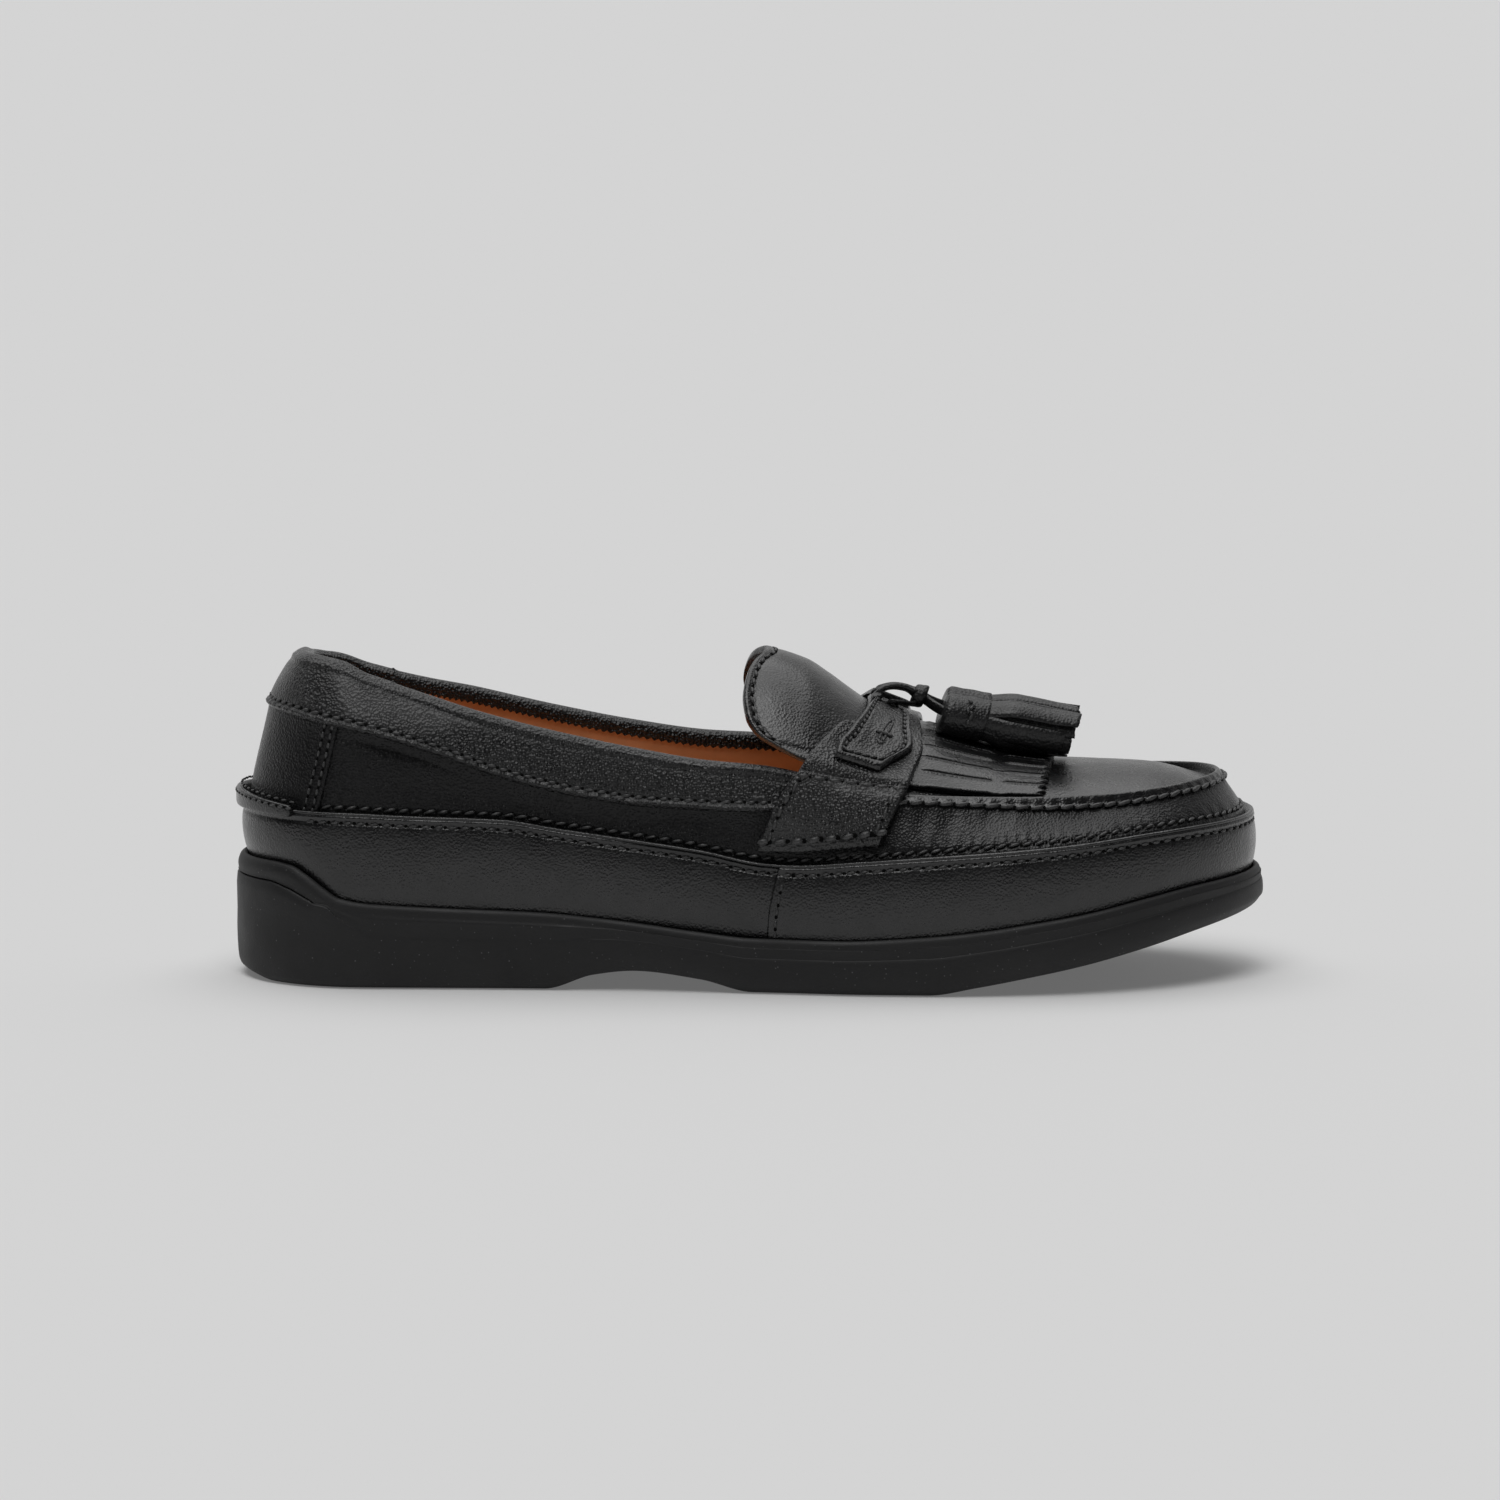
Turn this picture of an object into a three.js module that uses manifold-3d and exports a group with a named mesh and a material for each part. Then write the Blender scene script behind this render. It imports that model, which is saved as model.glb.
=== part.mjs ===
// A kiltie tassel loafer for the right foot: a moccasin upper with a raised apron seam, a padded collar band,
// a tongue, a fringed kiltie under a saddle strap, two tabs, a thong with two tassels, and a rubber cup sole.
// Millimetres, +X towards the toe, +Y towards the inner side of the foot, +Z up, the floor at z = 0.
import * as THREE from "three";
import { mergeVertices } from "three/addons/utils/BufferGeometryUtils.js";
import Module from "manifold-3d";

const wasm = await Module();
wasm.setup();

// Driving sizes of the last and the sole.
const LENGTH = 300; // heel to toe of the sole
const BALL_WIDTH = 108; // widest part of the sole
const LIP_HEIGHT = 36; // top of the sole's lip behind the heel
const SEAM_HEIGHT = 50.6; // top of the lower band at the heel
const BACK_HEIGHT = 94.7; // top of the collar behind the heel
const INSTEP_HEIGHT = 95; // crest of the tongue

// Thicknesses and clearances.
const GAP = 0.3; // between two pieces that touch
const RIM = 3; // wall of the cup sole around the upper
const WALL = 2; // leather and lining of the upper
const COLLAR_PAD = 4.6; // padded collar at its top
const BAND_LEDGE = 1.3; // the lower band stands this far outside the panel above it
const COLLAR_STEP = 1.5; // the collar band stands this far outside the quarter
const CREST_DROP = 2.4; // the apron lies this far below the crest of its seam
const INSOLE = 3.2;
const TONGUE = 1.8;
const KILTIE = 1.5;
const STRAP = 1.5;
const PATCH = 0.9; // extra thickness of the strap's sewn ends
const TAB = 1.5;
const BACKSTAY = 1.0;
const HEEL_STRIP = 2.1;
const LACE = 2.2; // diameter of the thong

// Piecewise cubic through a column of a table, with no overshoot between its rows.
function smooth(xs, ys) {
  const n = xs.length;
  const slope = xs.slice(1).map((x, i) => (ys[i + 1] - ys[i]) / (x - xs[i]));
  const tangent = xs.map((_, i) => {
    if (i === 0) return slope[0];
    if (i === n - 1) return slope[n - 2];
    const [a, b] = [slope[i - 1], slope[i]];
    return a * b <= 0 ? 0 : (2 * a * b) / (a + b);
  });
  return (x) => {
    const t = Math.min(Math.max(x, xs[0]), xs[n - 1]);
    let i = 0;
    while (i < n - 2 && t > xs[i + 1]) i++;
    const w = xs[i + 1] - xs[i];
    const s = (t - xs[i]) / w;
    const [s2, s3] = [s * s, s * s * s];
    return (
      ys[i] * (2 * s3 - 3 * s2 + 1) +
      tangent[i] * w * (s3 - 2 * s2 + s) +
      ys[i + 1] * (3 * s2 - 2 * s3) +
      tangent[i + 1] * w * (s3 - s2)
    );
  };
}

// A table's columns as functions of its first column.
function columns(names, rows) {
  const xs = rows.map((r) => r[0]);
  const made = {};
  names.split(" ").slice(1).forEach((name, k) => {
    made[name] = smooth(xs, rows.map((r) => r[k + 1]));
  });
  return made;
}

// Plan of the sole: at is a share of LENGTH, centre and half are shares of BALL_WIDTH.
const PLAN = columns("at centre half", [
  [0.0, 0.0, 0.322],
  [0.06, 0.0, 0.338],
  [0.13, -0.003, 0.346],
  [0.25, -0.008, 0.352],
  [0.36, -0.017, 0.361],
  [0.45, -0.022, 0.388],
  [0.53, -0.018, 0.428],
  [0.61, -0.008, 0.474],
  [0.69, 0.002, 0.496],
  [0.74, 0.01, 0.5],
  [0.8, 0.022, 0.494],
  [0.87, 0.038, 0.478],
  [0.94, 0.054, 0.46],
  [1.0, 0.066, 0.445],
]);
const HEEL_ROUND = { share: 0.127, power: 2.2 };
const TOE_ROUND = { share: 0.24, power: 2.6 };

// Heights along the sole as shares of LIP_HEIGHT: top of the rim, bed inside it, and the underside.
const SOLE = columns("at rim bed under", [
  [0.0, 0.989, 0.57, 0.055],
  [0.015, 0.992, 0.57, 0.02],
  [0.03, 0.994, 0.57, 0.0],
  [0.05, 0.978, 0.57, 0.0],
  [0.065, 0.917, 0.57, 0.0],
  [0.085, 0.806, 0.57, 0.0],
  [0.1, 0.733, 0.568, 0.0],
  [0.13, 0.692, 0.565, 0.0],
  [0.2, 0.661, 0.556, 0.0],
  [0.3, 0.628, 0.5, 0.0],
  [0.347, 0.592, 0.44, 0.117],
  [0.386, 0.556, 0.4, 0.153],
  [0.45, 0.489, 0.333, 0.094],
  [0.5, 0.449, 0.275, 0.0],
  [0.58, 0.442, 0.245, 0.0],
  [0.672, 0.483, 0.248, 0.0],
  [0.72, 0.522, 0.285, 0.061],
  [0.77, 0.581, 0.34, 0.136],
  [0.83, 0.658, 0.431, 0.231],
  [0.89, 0.756, 0.535, 0.344],
  [0.94, 0.822, 0.61, 0.444],
  [1.0, 0.856, 0.66, 0.542],
]);

// Top of the lower band: z as a share of SEAM_HEIGHT, inset from the sole's edge as a share of BALL_WIDTH.
const SEAM = columns("at z inset", [
  [0.0, 1.0, 0.022],
  [0.1, 1.0, 0.026],
  [0.17, 0.984, 0.028],
  [0.26, 0.966, 0.028],
  [0.31, 0.921, 0.028],
  [0.38, 0.862, 0.028],
  [0.45, 0.804, 0.029],
  [0.51, 0.737, 0.03],
  [0.54, 0.729, 0.03],
  [0.6, 0.755, 0.031],
  [0.673, 0.787, 0.031],
  [0.75, 0.818, 0.031],
  [0.823, 0.852, 0.031],
  [0.897, 0.895, 0.031],
  [0.95, 0.911, 0.031],
  [1.0, 0.915, 0.031],
]);

// Foot of the collar band and, in front of the strap, of the apron's seam: z as a share of BACK_HEIGHT.
const EDGE = columns("at z inset", [
  [0.0, 0.838, 0.098],
  [0.03, 0.833, 0.09],
  [0.06, 0.822, 0.078],
  [0.09, 0.81, 0.066],
  [0.12, 0.795, 0.058],
  [0.2, 0.722, 0.052],
  [0.25, 0.664, 0.05],
  [0.3, 0.621, 0.048],
  [0.35, 0.59, 0.048],
  [0.4, 0.571, 0.05],
  [0.5, 0.561, 0.058],
  [0.58, 0.575, 0.082],
  [0.65, 0.583, 0.112],
  [0.72, 0.573, 0.126],
  [0.8, 0.56, 0.132],
  [0.87, 0.563, 0.13],
  [0.93, 0.578, 0.12],
  [1.0, 0.597, 0.11],
]);

// Topline of the collar and, in front of the strap, crest of the apron's seam: z as a share of BACK_HEIGHT.
// drop is how much lower the topline is on the inner side.
const TOP = columns("at z inset drop", [
  [0.0, 1.0, 0.165, 0.0],
  [0.03, 1.0, 0.142, 0.022],
  [0.06, 0.995, 0.14, 0.03],
  [0.09, 0.983, 0.142, 0.03],
  [0.12, 0.963, 0.138, 0.027],
  [0.157, 0.928, 0.129, 0.024],
  [0.187, 0.897, 0.116, 0.018],
  [0.237, 0.844, 0.086, 0.003],
  [0.287, 0.803, 0.077, 0.0],
  [0.33, 0.773, 0.072, 0.0],
  [0.38, 0.741, 0.07, 0.0],
  [0.45, 0.705, 0.073, 0.0],
  [0.51, 0.689, 0.08, 0.0],
  [0.54, 0.672, 0.088, 0.0],
  [0.58, 0.642, 0.106, 0.0],
  [0.65, 0.604, 0.127, 0.0],
  [0.72, 0.595, 0.14, 0.0],
  [0.8, 0.591, 0.146, 0.0],
  [0.87, 0.593, 0.142, 0.0],
  [0.93, 0.602, 0.131, 0.0],
  [1.0, 0.617, 0.121, 0.0],
]);

// Crest line of the apron and of the last under the tongue: z as a share of INSTEP_HEIGHT.
const CREST = columns("at z", [
  [0.48, 0.985],
  [0.515, 0.981],
  [0.55, 0.95],
  [0.572, 0.906],
  [0.593, 0.856],
  [0.613, 0.813],
  [0.653, 0.763],
  [0.682, 0.736],
  [0.717, 0.701],
  [0.753, 0.673],
  [0.793, 0.655],
  [0.833, 0.648],
  [0.867, 0.643],
  [0.893, 0.636],
  [0.913, 0.622],
  [0.935, 0.6],
  [0.96, 0.585],
]);

const lerp = (a, b, t) => a + (b - a) * t;
const clamp01 = (t) => Math.min(Math.max(t, 0), 1);
const ease = (t) => {
  const s = clamp01(t);
  return s * s * (3 - 2 * s);
};

// The sole's edge in plan. phi runs from the back of the heel (0) along the outer side to the toe (PI),
// and back along the inner side.
const stationOf = (phi) => (LENGTH * (1 - Math.cos(phi))) / 2;
const phiOf = (x) => Math.acos(1 - (2 * x) / LENGTH);

function endRound(x) {
  const rounded = (way, { share, power }) =>
    Math.sqrt(Math.max(0, 1 - clamp01(1 - way / (share * LENGTH)) ** power));
  return rounded(x, HEEL_ROUND) * rounded(LENGTH - x, TOE_ROUND);
}

function outline(phi) {
  const x = stationOf(phi);
  const at = x / LENGTH;
  const side = Math.sin(phi) >= 0 ? -1 : 1;
  return [x, BALL_WIDTH * (PLAN.centre(at) + side * PLAN.half(at) * endRound(x))];
}

// A point inset from the sole's edge along its inward normal.
function inside(phi, inset, z) {
  const step = 0.01;
  const [x, y] = outline(phi);
  const [ax, ay] = outline(phi - step);
  const [bx, by] = outline(phi + step);
  const size = Math.hypot(bx - ax, by - ay);
  return [x - (inset * (by - ay)) / size, y + (inset * (bx - ax)) / size, z];
}

// Closed solids from grids of points.
function solidOf(points, triangles) {
  const geometry = new THREE.BufferGeometry();
  geometry.setAttribute("position", new THREE.Float32BufferAttribute(points.flat(), 3));
  geometry.setIndex(triangles.flat());
  const merged = mergeVertices(geometry, 1e-4);
  const made = (triVerts) =>
    new wasm.Manifold(
      new wasm.Mesh({ numProp: 3, vertProperties: merged.attributes.position.array, triVerts }),
    );
  const solid = made(new Uint32Array(merged.index.array));
  return solid.volume() > 0 ? solid : made(new Uint32Array(merged.index.array).reverse());
}

function geometryOf(solid) {
  const mesh = solid.getMesh();
  const geometry = new THREE.BufferGeometry();
  geometry.setAttribute("position", new THREE.BufferAttribute(new Float32Array(mesh.vertProperties), 3));
  geometry.setIndex(new THREE.BufferAttribute(new Uint32Array(mesh.triVerts), 1));
  return geometry;
}

const quad = (a, b, c, d) => [
  [a, b, c],
  [a, c, d],
];

// Rings stacked from first to last. The ends are joined to each other, or each is bridged from side to side.
function ringSolid(rings, joined) {
  const n = rings[0].length;
  const triangles = [];
  const last = rings.length - 1;
  for (let r = 0; r < (joined ? rings.length : last); r++) {
    const next = ((r + 1) % rings.length) * n;
    for (let i = 0; i < n; i++) {
      const j = (i + 1) % n;
      triangles.push(...quad(r * n + i, r * n + j, next + j, next + i));
    }
  }
  if (!joined) {
    for (let i = 0; i < n / 2; i++) {
      const [a, b] = [i, i + 1];
      const [c, d] = [(n - i) % n, n - i - 1];
      const up = last * n;
      if (a !== c) triangles.push([a, c, b], [up + a, up + b, up + c]);
      if (b !== d) triangles.push([b, c, d], [up + b, up + d, up + c]);
    }
  }
  return solidOf(rings.flat(), triangles);
}

// A sheet with a thickness: under and over are grids of the same size, and keep says which cells are there.
function sheetSolid(under, over, keep = () => true) {
  const rows = under.length;
  const n = under[0].length;
  const size = rows * n;
  const there = (r, c) => r >= 0 && c >= 0 && r < rows - 1 && c < n - 1 && keep(r, c);
  const triangles = [];
  for (let r = 0; r < rows - 1; r++) {
    for (let c = 0; c < n - 1; c++) {
      if (!there(r, c)) continue;
      const [p, q, t, v] = [r * n + c, r * n + c + 1, (r + 1) * n + c + 1, (r + 1) * n + c];
      triangles.push(...quad(p, v, t, q), ...quad(size + p, size + q, size + t, size + v));
      const wall = (from, to) => triangles.push(...quad(from, to, size + to, size + from));
      if (!there(r - 1, c)) wall(p, q);
      if (!there(r, c + 1)) wall(q, t);
      if (!there(r + 1, c)) wall(t, v);
      if (!there(r, c - 1)) wall(v, p);
    }
  }
  return solidOf([...under.flat(), ...over.flat()], triangles);
}

const range = (n, from = 0, to = 1) => Array.from({ length: n + 1 }, (_, i) => lerp(from, to, i / n));

// The rings' columns stand every 5 degrees, with a close pair at the backstay's edge.
const BACKSTAY_EDGE = 0.083; // share of LENGTH
const STEP_WIDTH = 1.2;
const COLUMNS = 72;
const HALF = range(COLUMNS / 2, 0, Math.PI);
[6, 7].forEach((column, k) => {
  HALF[column] = phiOf(BACKSTAY_EDGE * LENGTH + k * STEP_WIDTH);
});
const PHIS = [...HALF, ...HALF.slice(1, -1).reverse().map((phi) => 2 * Math.PI - phi)];
const ringOf = (section) => PHIS.map((phi) => section(phi, stationOf(phi) / LENGTH));

// The cup sole: a rounded rim, a groove under the heel lip, a soft rib along the side, a rounded tread edge.
const RIM_ROUND = 4;
const RIM_LOWER = 0.6; // the rim's inner corner lies this far below its top
const SIDE_INSET = 0.7; // of the heel's side between lip and groove
const RIB_AT = 0.59; // share of the side's height
const RIB_OUT = 0.8;
const RIB_HALF = 1;
const GROOVE = columns("at z depth", [
  [0.0, 0.83, 1.1],
  [0.03, 0.825, 1.1],
  [0.055, 0.775, 1.1],
  [0.07, 0.69, 0.6],
  [0.08, 0.65, 0.0],
  [0.12, 0.6, 0.0],
]);
const TREAD_ROUND = 3.5;
const TREAD_INSET = 4.5;

function outsole() {
  const rim = (at) => SOLE.rim(at) * LIP_HEIGHT;
  const bed = (at) => SOLE.bed(at) * LIP_HEIGHT;
  const under = (at) => SOLE.under(at) * LIP_HEIGHT;
  const rib = (at) => lerp(under(at), rim(at), RIB_AT);
  const above = (at, t) => lerp(rim(at), rib(at), t);
  const groove = (at) => Math.min(GROOVE.z(at) * LIP_HEIGHT, rim(at) - RIM_ROUND);
  const heel = (at) => clamp01(GROOVE.depth(at));
  const mixed = (at, side, atHeel) => side.map((v, k) => lerp(v, atHeel[k], heel(at)));
  const sections = [
    (at) => [RIM, bed(at)],
    (at) => [RIM, rim(at) - RIM_LOWER],
    (at) => [RIM * 0.7, rim(at)],
    (at) => [RIM * 0.35, rim(at) - RIM_ROUND * 0.2],
    (at) => [RIM * lerp(0.2, 0.12, heel(at)), rim(at) - RIM_ROUND * 0.7],
    (at) => mixed(at, [RIB_OUT, above(at, 0.5)], [SIDE_INSET, groove(at) + RIB_HALF * 0.8]),
    (at) => mixed(at, [RIB_OUT, above(at, 0.7)], [SIDE_INSET + GROOVE.depth(at), groove(at)]),
    (at) => mixed(at, [RIB_OUT * 0.7, rib(at) + RIB_HALF], [0, groove(at) - RIB_HALF * 0.7]),
    (at) => [0, rib(at) - RIB_HALF * (0.6 + 2 * heel(at))],
    (at) => [0, lerp(under(at), rim(at), 0.3)],
    (at) => [TREAD_INSET * 0.12, under(at) + TREAD_ROUND * 0.7],
    (at) => [TREAD_INSET * 0.42, under(at) + TREAD_ROUND * 0.22],
    (at) => [TREAD_INSET, under(at)],
  ];
  return ringSolid(
    sections.map((s) => ringOf((phi, at) => inside(phi, ...s(at)))),
    false,
  );
}

// The insole lies in the cup, inside the upper's foot, and dips in its middle.
const INSOLE_SLACK = 0.2;
const INSOLE_INSET = RIM + GAP + WALL + GAP + INSOLE_SLACK;
const INSOLE_DIP_FROM = 12; // from its edge
function insole() {
  const bed = (at) => SOLE.bed(at) * LIP_HEIGHT + GAP;
  const sections = [
    (at) => [INSOLE_INSET, bed(at)],
    (at) => [INSOLE_INSET, bed(at) + INSOLE * 0.7],
    (at) => [INSOLE_INSET + INSOLE * 0.375, bed(at) + INSOLE],
    (at) => [INSOLE_INSET + INSOLE_DIP_FROM, bed(at) + INSOLE * 0.9],
  ];
  return ringSolid(
    sections.map((s) => ringOf((phi, at) => inside(phi, ...s(at)))),
    false,
  );
}

// How far along the shoe the collar gives way to the apron's seam, which the strap covers.
const APRON_FROM = 0.545;
const apronShare = (at) => ease((at - APRON_FROM) / 0.06);
const backShare = (at) => clamp01(1 - ((at - BACKSTAY_EDGE) * LENGTH) / STEP_WIDTH);

// The outer face of the upper at one station: inset and height from the foot of the wall to its top.
const BAND_BULGE = 0.9;
const BAND_EDGE = 0.2; // the band's top edge stands out a little, and its ledge rises less than that
const COLLAR_BULGE = { rear: 0.9, front: 0.2, from: 0.42, to: 0.5 }; // from and to are shares of LENGTH
const TOP_ROUND = 0.35;
const SIDE_LEAN = 1.35; // power of the panel's lean towards the collar
function wallSection(at, side) {
  const foot = RIM + GAP;
  const bed = SOLE.bed(at) * LIP_HEIGHT + GAP;
  const rim = SOLE.rim(at) * LIP_HEIGHT;
  const seam = [SEAM.inset(at) * BALL_WIDTH, SEAM.z(at) * SEAM_HEIGHT];
  const edge = [EDGE.inset(at) * BALL_WIDTH, EDGE.z(at) * BACK_HEIGHT];
  const drop = side > 0 ? TOP.drop(at) : 0;
  const top = [TOP.inset(at) * BALL_WIDTH, (TOP.z(at) - drop) * BACK_HEIGHT];
  const stay = BACKSTAY * (1 - backShare(at));
  const ledge = BAND_LEDGE + stay;
  const { rear, front, from, to } = COLLAR_BULGE;
  const bulge = lerp(rear, front, ease((at - from) / (to - from)));
  const panel = (s) => [
    lerp(seam[0] + BAND_LEDGE, edge[0], s ** SIDE_LEAN) + stay * (1 - s ** 4),
    lerp(seam[1], edge[1], s),
  ];
  const band = (s, out) => [lerp(foot, seam[0], s) - out * BAND_BULGE, lerp(rim, seam[1], s)];
  const collar = (s, out) => [lerp(edge[0] - COLLAR_STEP, top[0], s) - out, lerp(edge[1], top[1], s)];
  return {
    seam,
    edge,
    top,
    panel,
    collar,
    ledge,
    outer: [
      [foot, bed],
      [foot, rim - BAND_LEDGE],
      band(0.12, 0.5),
      band(0.5, 1),
      band(0.9, 0.4),
      [seam[0] - BAND_EDGE, seam[1]],
      [seam[0] + ledge, seam[1] + BAND_EDGE * 0.7],
      panel(0.33),
      panel(0.67),
      panel(0.99),
      collar(0.03, 0),
      collar(0.45, bulge),
      collar(0.85, bulge * 0.6),
      collar(0.97, -TOP_ROUND),
    ],
  };
}

// The wall's inner face follows the outer one a wall's thickness in, and the padded collar's at the top.
// Along the apron it reaches in under it.
const APRON_HOLD = 1.6;
function wallRing(at, side) {
  const { seam, edge, top, panel, outer } = wallSection(at, side);
  const foot = RIM + GAP + WALL;
  const hold = APRON_HOLD * apronShare(at);
  const pad = lerp(COLLAR_PAD, WALL * 1.25, apronShare(at));
  const inner = [
    [top[0] + pad * 0.45, top[1] + TOP_ROUND],
    [top[0] + pad * 0.9, top[1] - TOP_ROUND * 2],
    [lerp(edge[0], top[0], 0.62) + pad + hold * 0.5, lerp(edge[1], top[1], 0.62)],
    [edge[0] + WALL * 1.3 + hold, edge[1]],
    [panel(0.5)[0] + WALL * 1.15, panel(0.5)[1]],
    [seam[0] + WALL * 1.9, seam[1]],
    [foot, lerp(SOLE.rim(at) * LIP_HEIGHT, seam[1], 0.35)],
    [foot, SOLE.bed(at) * LIP_HEIGHT + GAP],
  ];
  return [...outer, ...inner];
}

const sideOf = (phi) => (Math.sin(phi) < -1e-9 ? 1 : -1);

// The apron: a dome from one side's seam to the other's, from under the strap to the toe.
// share runs from -1 at the outer side's seam through 0 at the crest to 1 at the inner side's.
const APRON_INSET = 1.3;
const DOME_POWER = 2.15;
const apronEdge = (phi) => {
  const at = stationOf(phi) / LENGTH;
  const drop = CREST_DROP * lerp(0.5, 1, apronShare(at));
  return inside(phi, TOP.inset(at) * BALL_WIDTH + APRON_INSET, TOP.z(at) * BACK_HEIGHT - drop);
};
function dome(station, share) {
  const phi = phiOf(station);
  const [a, b] = [apronEdge(phi), apronEdge(-phi)];
  const t = (share + 1) / 2;
  const x = lerp(a[0], b[0], t);
  const base = lerp(a[2], b[2], t);
  const crest = CREST.z(x / LENGTH) * INSTEP_HEIGHT;
  return [x, lerp(a[1], b[1], t), base + (crest - base) * (1 - Math.abs(share) ** DOME_POWER)];
}
// The apron's rows, as shares of LENGTH, closer where the instep's curve is tight and towards the toe.
const APRON_ROWS = [
  0.56, 0.58, 0.6, 0.62, 0.645, 0.67, 0.7, 0.735, 0.775, 0.82, 0.865, 0.905, 0.94, 0.97, 0.99, 0.999,
];
const ON_APRON = GAP + 0.15; // the flat facets of curved pieces stay clear of each other
function apron() {
  const stations = APRON_ROWS.map((at) => at * LENGTH);
  const across = range(12, -1, 1);
  const over = stations.map((station) => across.map((share) => dome(station, share)));
  const under = over.map((row) => row.map(([x, y, z]) => [x, y, z - WALL]));
  return sheetSolid(under, over);
}

function upper() {
  const sections = PHIS.map((phi) =>
    wallRing(stationOf(phi) / LENGTH, sideOf(phi)).map(([inset, z]) => inside(phi, inset, z)),
  );
  const rows = sections[0].map((_, r) => sections.map((s) => s[r]));
  return ringSolid(rows, true).add(apron());
}

// A point lifted off a surface along its outward normal. surface takes a station and a share across.
function lifted(surface, station, share, height) {
  const [ds, da] = [LENGTH / 600, 0.01];
  const point = (s, a) => new THREE.Vector3(...surface(s, a));
  const u = point(station + ds, share).sub(point(station - ds, share));
  const v = point(station, share + da).sub(point(station, share - da));
  return point(station, share).addScaledVector(u.cross(v).normalize(), height).toArray();
}

// The tongue over the instep: its rear edge by share across, as shares of LENGTH.
const TONGUE_EDGE = columns("across rear", [
  [0.0, 0.508],
  [0.08, 0.5075],
  [0.2, 0.502],
  [0.32, 0.495],
  [0.44, 0.4905],
  [0.62, 0.487],
  [0.75, 0.49],
  [0.84, 0.5],
  [0.9, 0.523],
  [0.94, 0.552],
]);
const TONGUE_HALF = 0.94;
const TONGUE_FRONT = 0.616;
function tongue() {
  const across = range(16, -TONGUE_HALF, TONGUE_HALF);
  const grid = (height) =>
    range(5).map((r) =>
      across.map((share) => {
        const rear = TONGUE_EDGE.rear(Math.abs(share));
        return lifted(dome, lerp(rear, TONGUE_FRONT, r) * LENGTH, share, height);
      }),
    );
  return sheetSolid(grid(ON_APRON), grid(ON_APRON + TONGUE));
}

// The kiltie: a band under the strap that is slit into strips towards its pinked front edge.
const KILTIE_SIZE = { rear: 0.6174, slit: 0.69, front: 0.79, half: 0.93, strips: 13 };
const SLIT = 0.8;
const PINK = 1.2;
function kiltie() {
  const { rear, slit, front, half, strips } = KILTIE_SIZE;
  const middle = dome(LENGTH * slit, half)[1] - dome(LENGTH * slit, -half)[1];
  const gap = (SLIT / middle) * half;
  const across = [];
  for (let i = 0; i < strips; i++) {
    const [from, to] = [lerp(-half, half, i / strips), lerp(-half, half, (i + 1) / strips)];
    across.push(i ? from + gap : from, i < strips - 1 ? to - gap : to);
  }
  const along = [rear, (rear + slit) / 2, slit, ...range(4, slit, front).slice(1)];
  const grid = (height) =>
    along.map((at, r) =>
      across.map((share, c) => {
        const pink = r === along.length - 1 ? (c % 2 ? PINK : 0) : 0;
        return lifted(dome, at * LENGTH - pink, share, height);
      }),
    );
  const slitCell = (r, c) => c % 2 === 1 && r >= 2;
  return sheetSolid(grid(ON_APRON), grid(ON_APRON + KILTIE), (r, c) => !slitCell(r, c));
}

// The saddle the strap lies on, across from the band's seam (-1) over the crest (0) to the other seam (1).
const SEAM_TO_CREST = 7; // knots: seam, collar's edge, seam's crest, then the dome in fifths
function saddle(station, across) {
  const phi = phiOf(station);
  const at = station / LENGTH;
  const knots = [];
  for (const side of [-1, 1]) {
    const around = side < 0 ? phi : -phi;
    const { seam, ledge, edge, top } = wallSection(at, side);
    const wall = [
      inside(around, seam[0] + ledge, seam[1]),
      inside(around, edge[0] - COLLAR_STEP * 0.9, edge[1]),
      inside(around, top[0] - TOP_ROUND, top[1] + TOP_ROUND * 0.6),
    ];
    const over = [0.8, 0.6, 0.4, 0.2].map((share) => dome(station, side * share));
    const half = [...wall, ...over];
    knots.push(...(side < 0 ? [...half, dome(station, 0)] : half.reverse()));
  }
  const curve = new THREE.CatmullRomCurve3(knots.map((k) => new THREE.Vector3(...k)), false, "centripetal");
  return curve.getPoint(clamp01((across + 1) / 2)).toArray();
}

// Edges of the strap by distance across from the crest, as shares of LENGTH.
const STRAP_EDGE = columns("across rear front", [
  [0.0, 0.603, 0.655],
  [0.3, 0.6, 0.66],
  [0.38, 0.597, 0.661],
  [0.425, 0.579, 0.662],
  [0.55, 0.562, 0.656],
  [0.714, 0.541, 0.649],
  [0.857, 0.518, 0.642],
  [0.964, 0.503, 0.623],
]);
const STRAP_HALF = 0.964;
const PATCH_FROM = 5 / SEAM_TO_CREST; // the sewn ends reach up to the apron's seam
const STRAP_SLACK = 0.35; // the strap bridges the steps in the wall
const strapLift = (across) =>
  lerp(GAP + STRAP_SLACK, 2 * ON_APRON + TONGUE, ease((0.735 - Math.abs(across)) / 0.05));
function strap() {
  const side = [...range(4, -STRAP_HALF, -PATCH_FROM - 0.01), ...range(9, -PATCH_FROM + 0.01, 0)];
  const across = [...side, ...side.slice(0, -1).reverse().map((a) => -a)];
  const grid = (over) =>
    range(5).map((r) =>
      across.map((a) => {
        const station = lerp(STRAP_EDGE.rear(Math.abs(a)), STRAP_EDGE.front(Math.abs(a)), r) * LENGTH;
        const sewn = Math.abs(a) > PATCH_FROM ? PATCH : 0;
        return lifted(saddle, station, a, strapLift(a) + (over ? STRAP + sewn : 0));
      }),
    );
  return sheetSolid(grid(false), grid(true));
}

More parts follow.
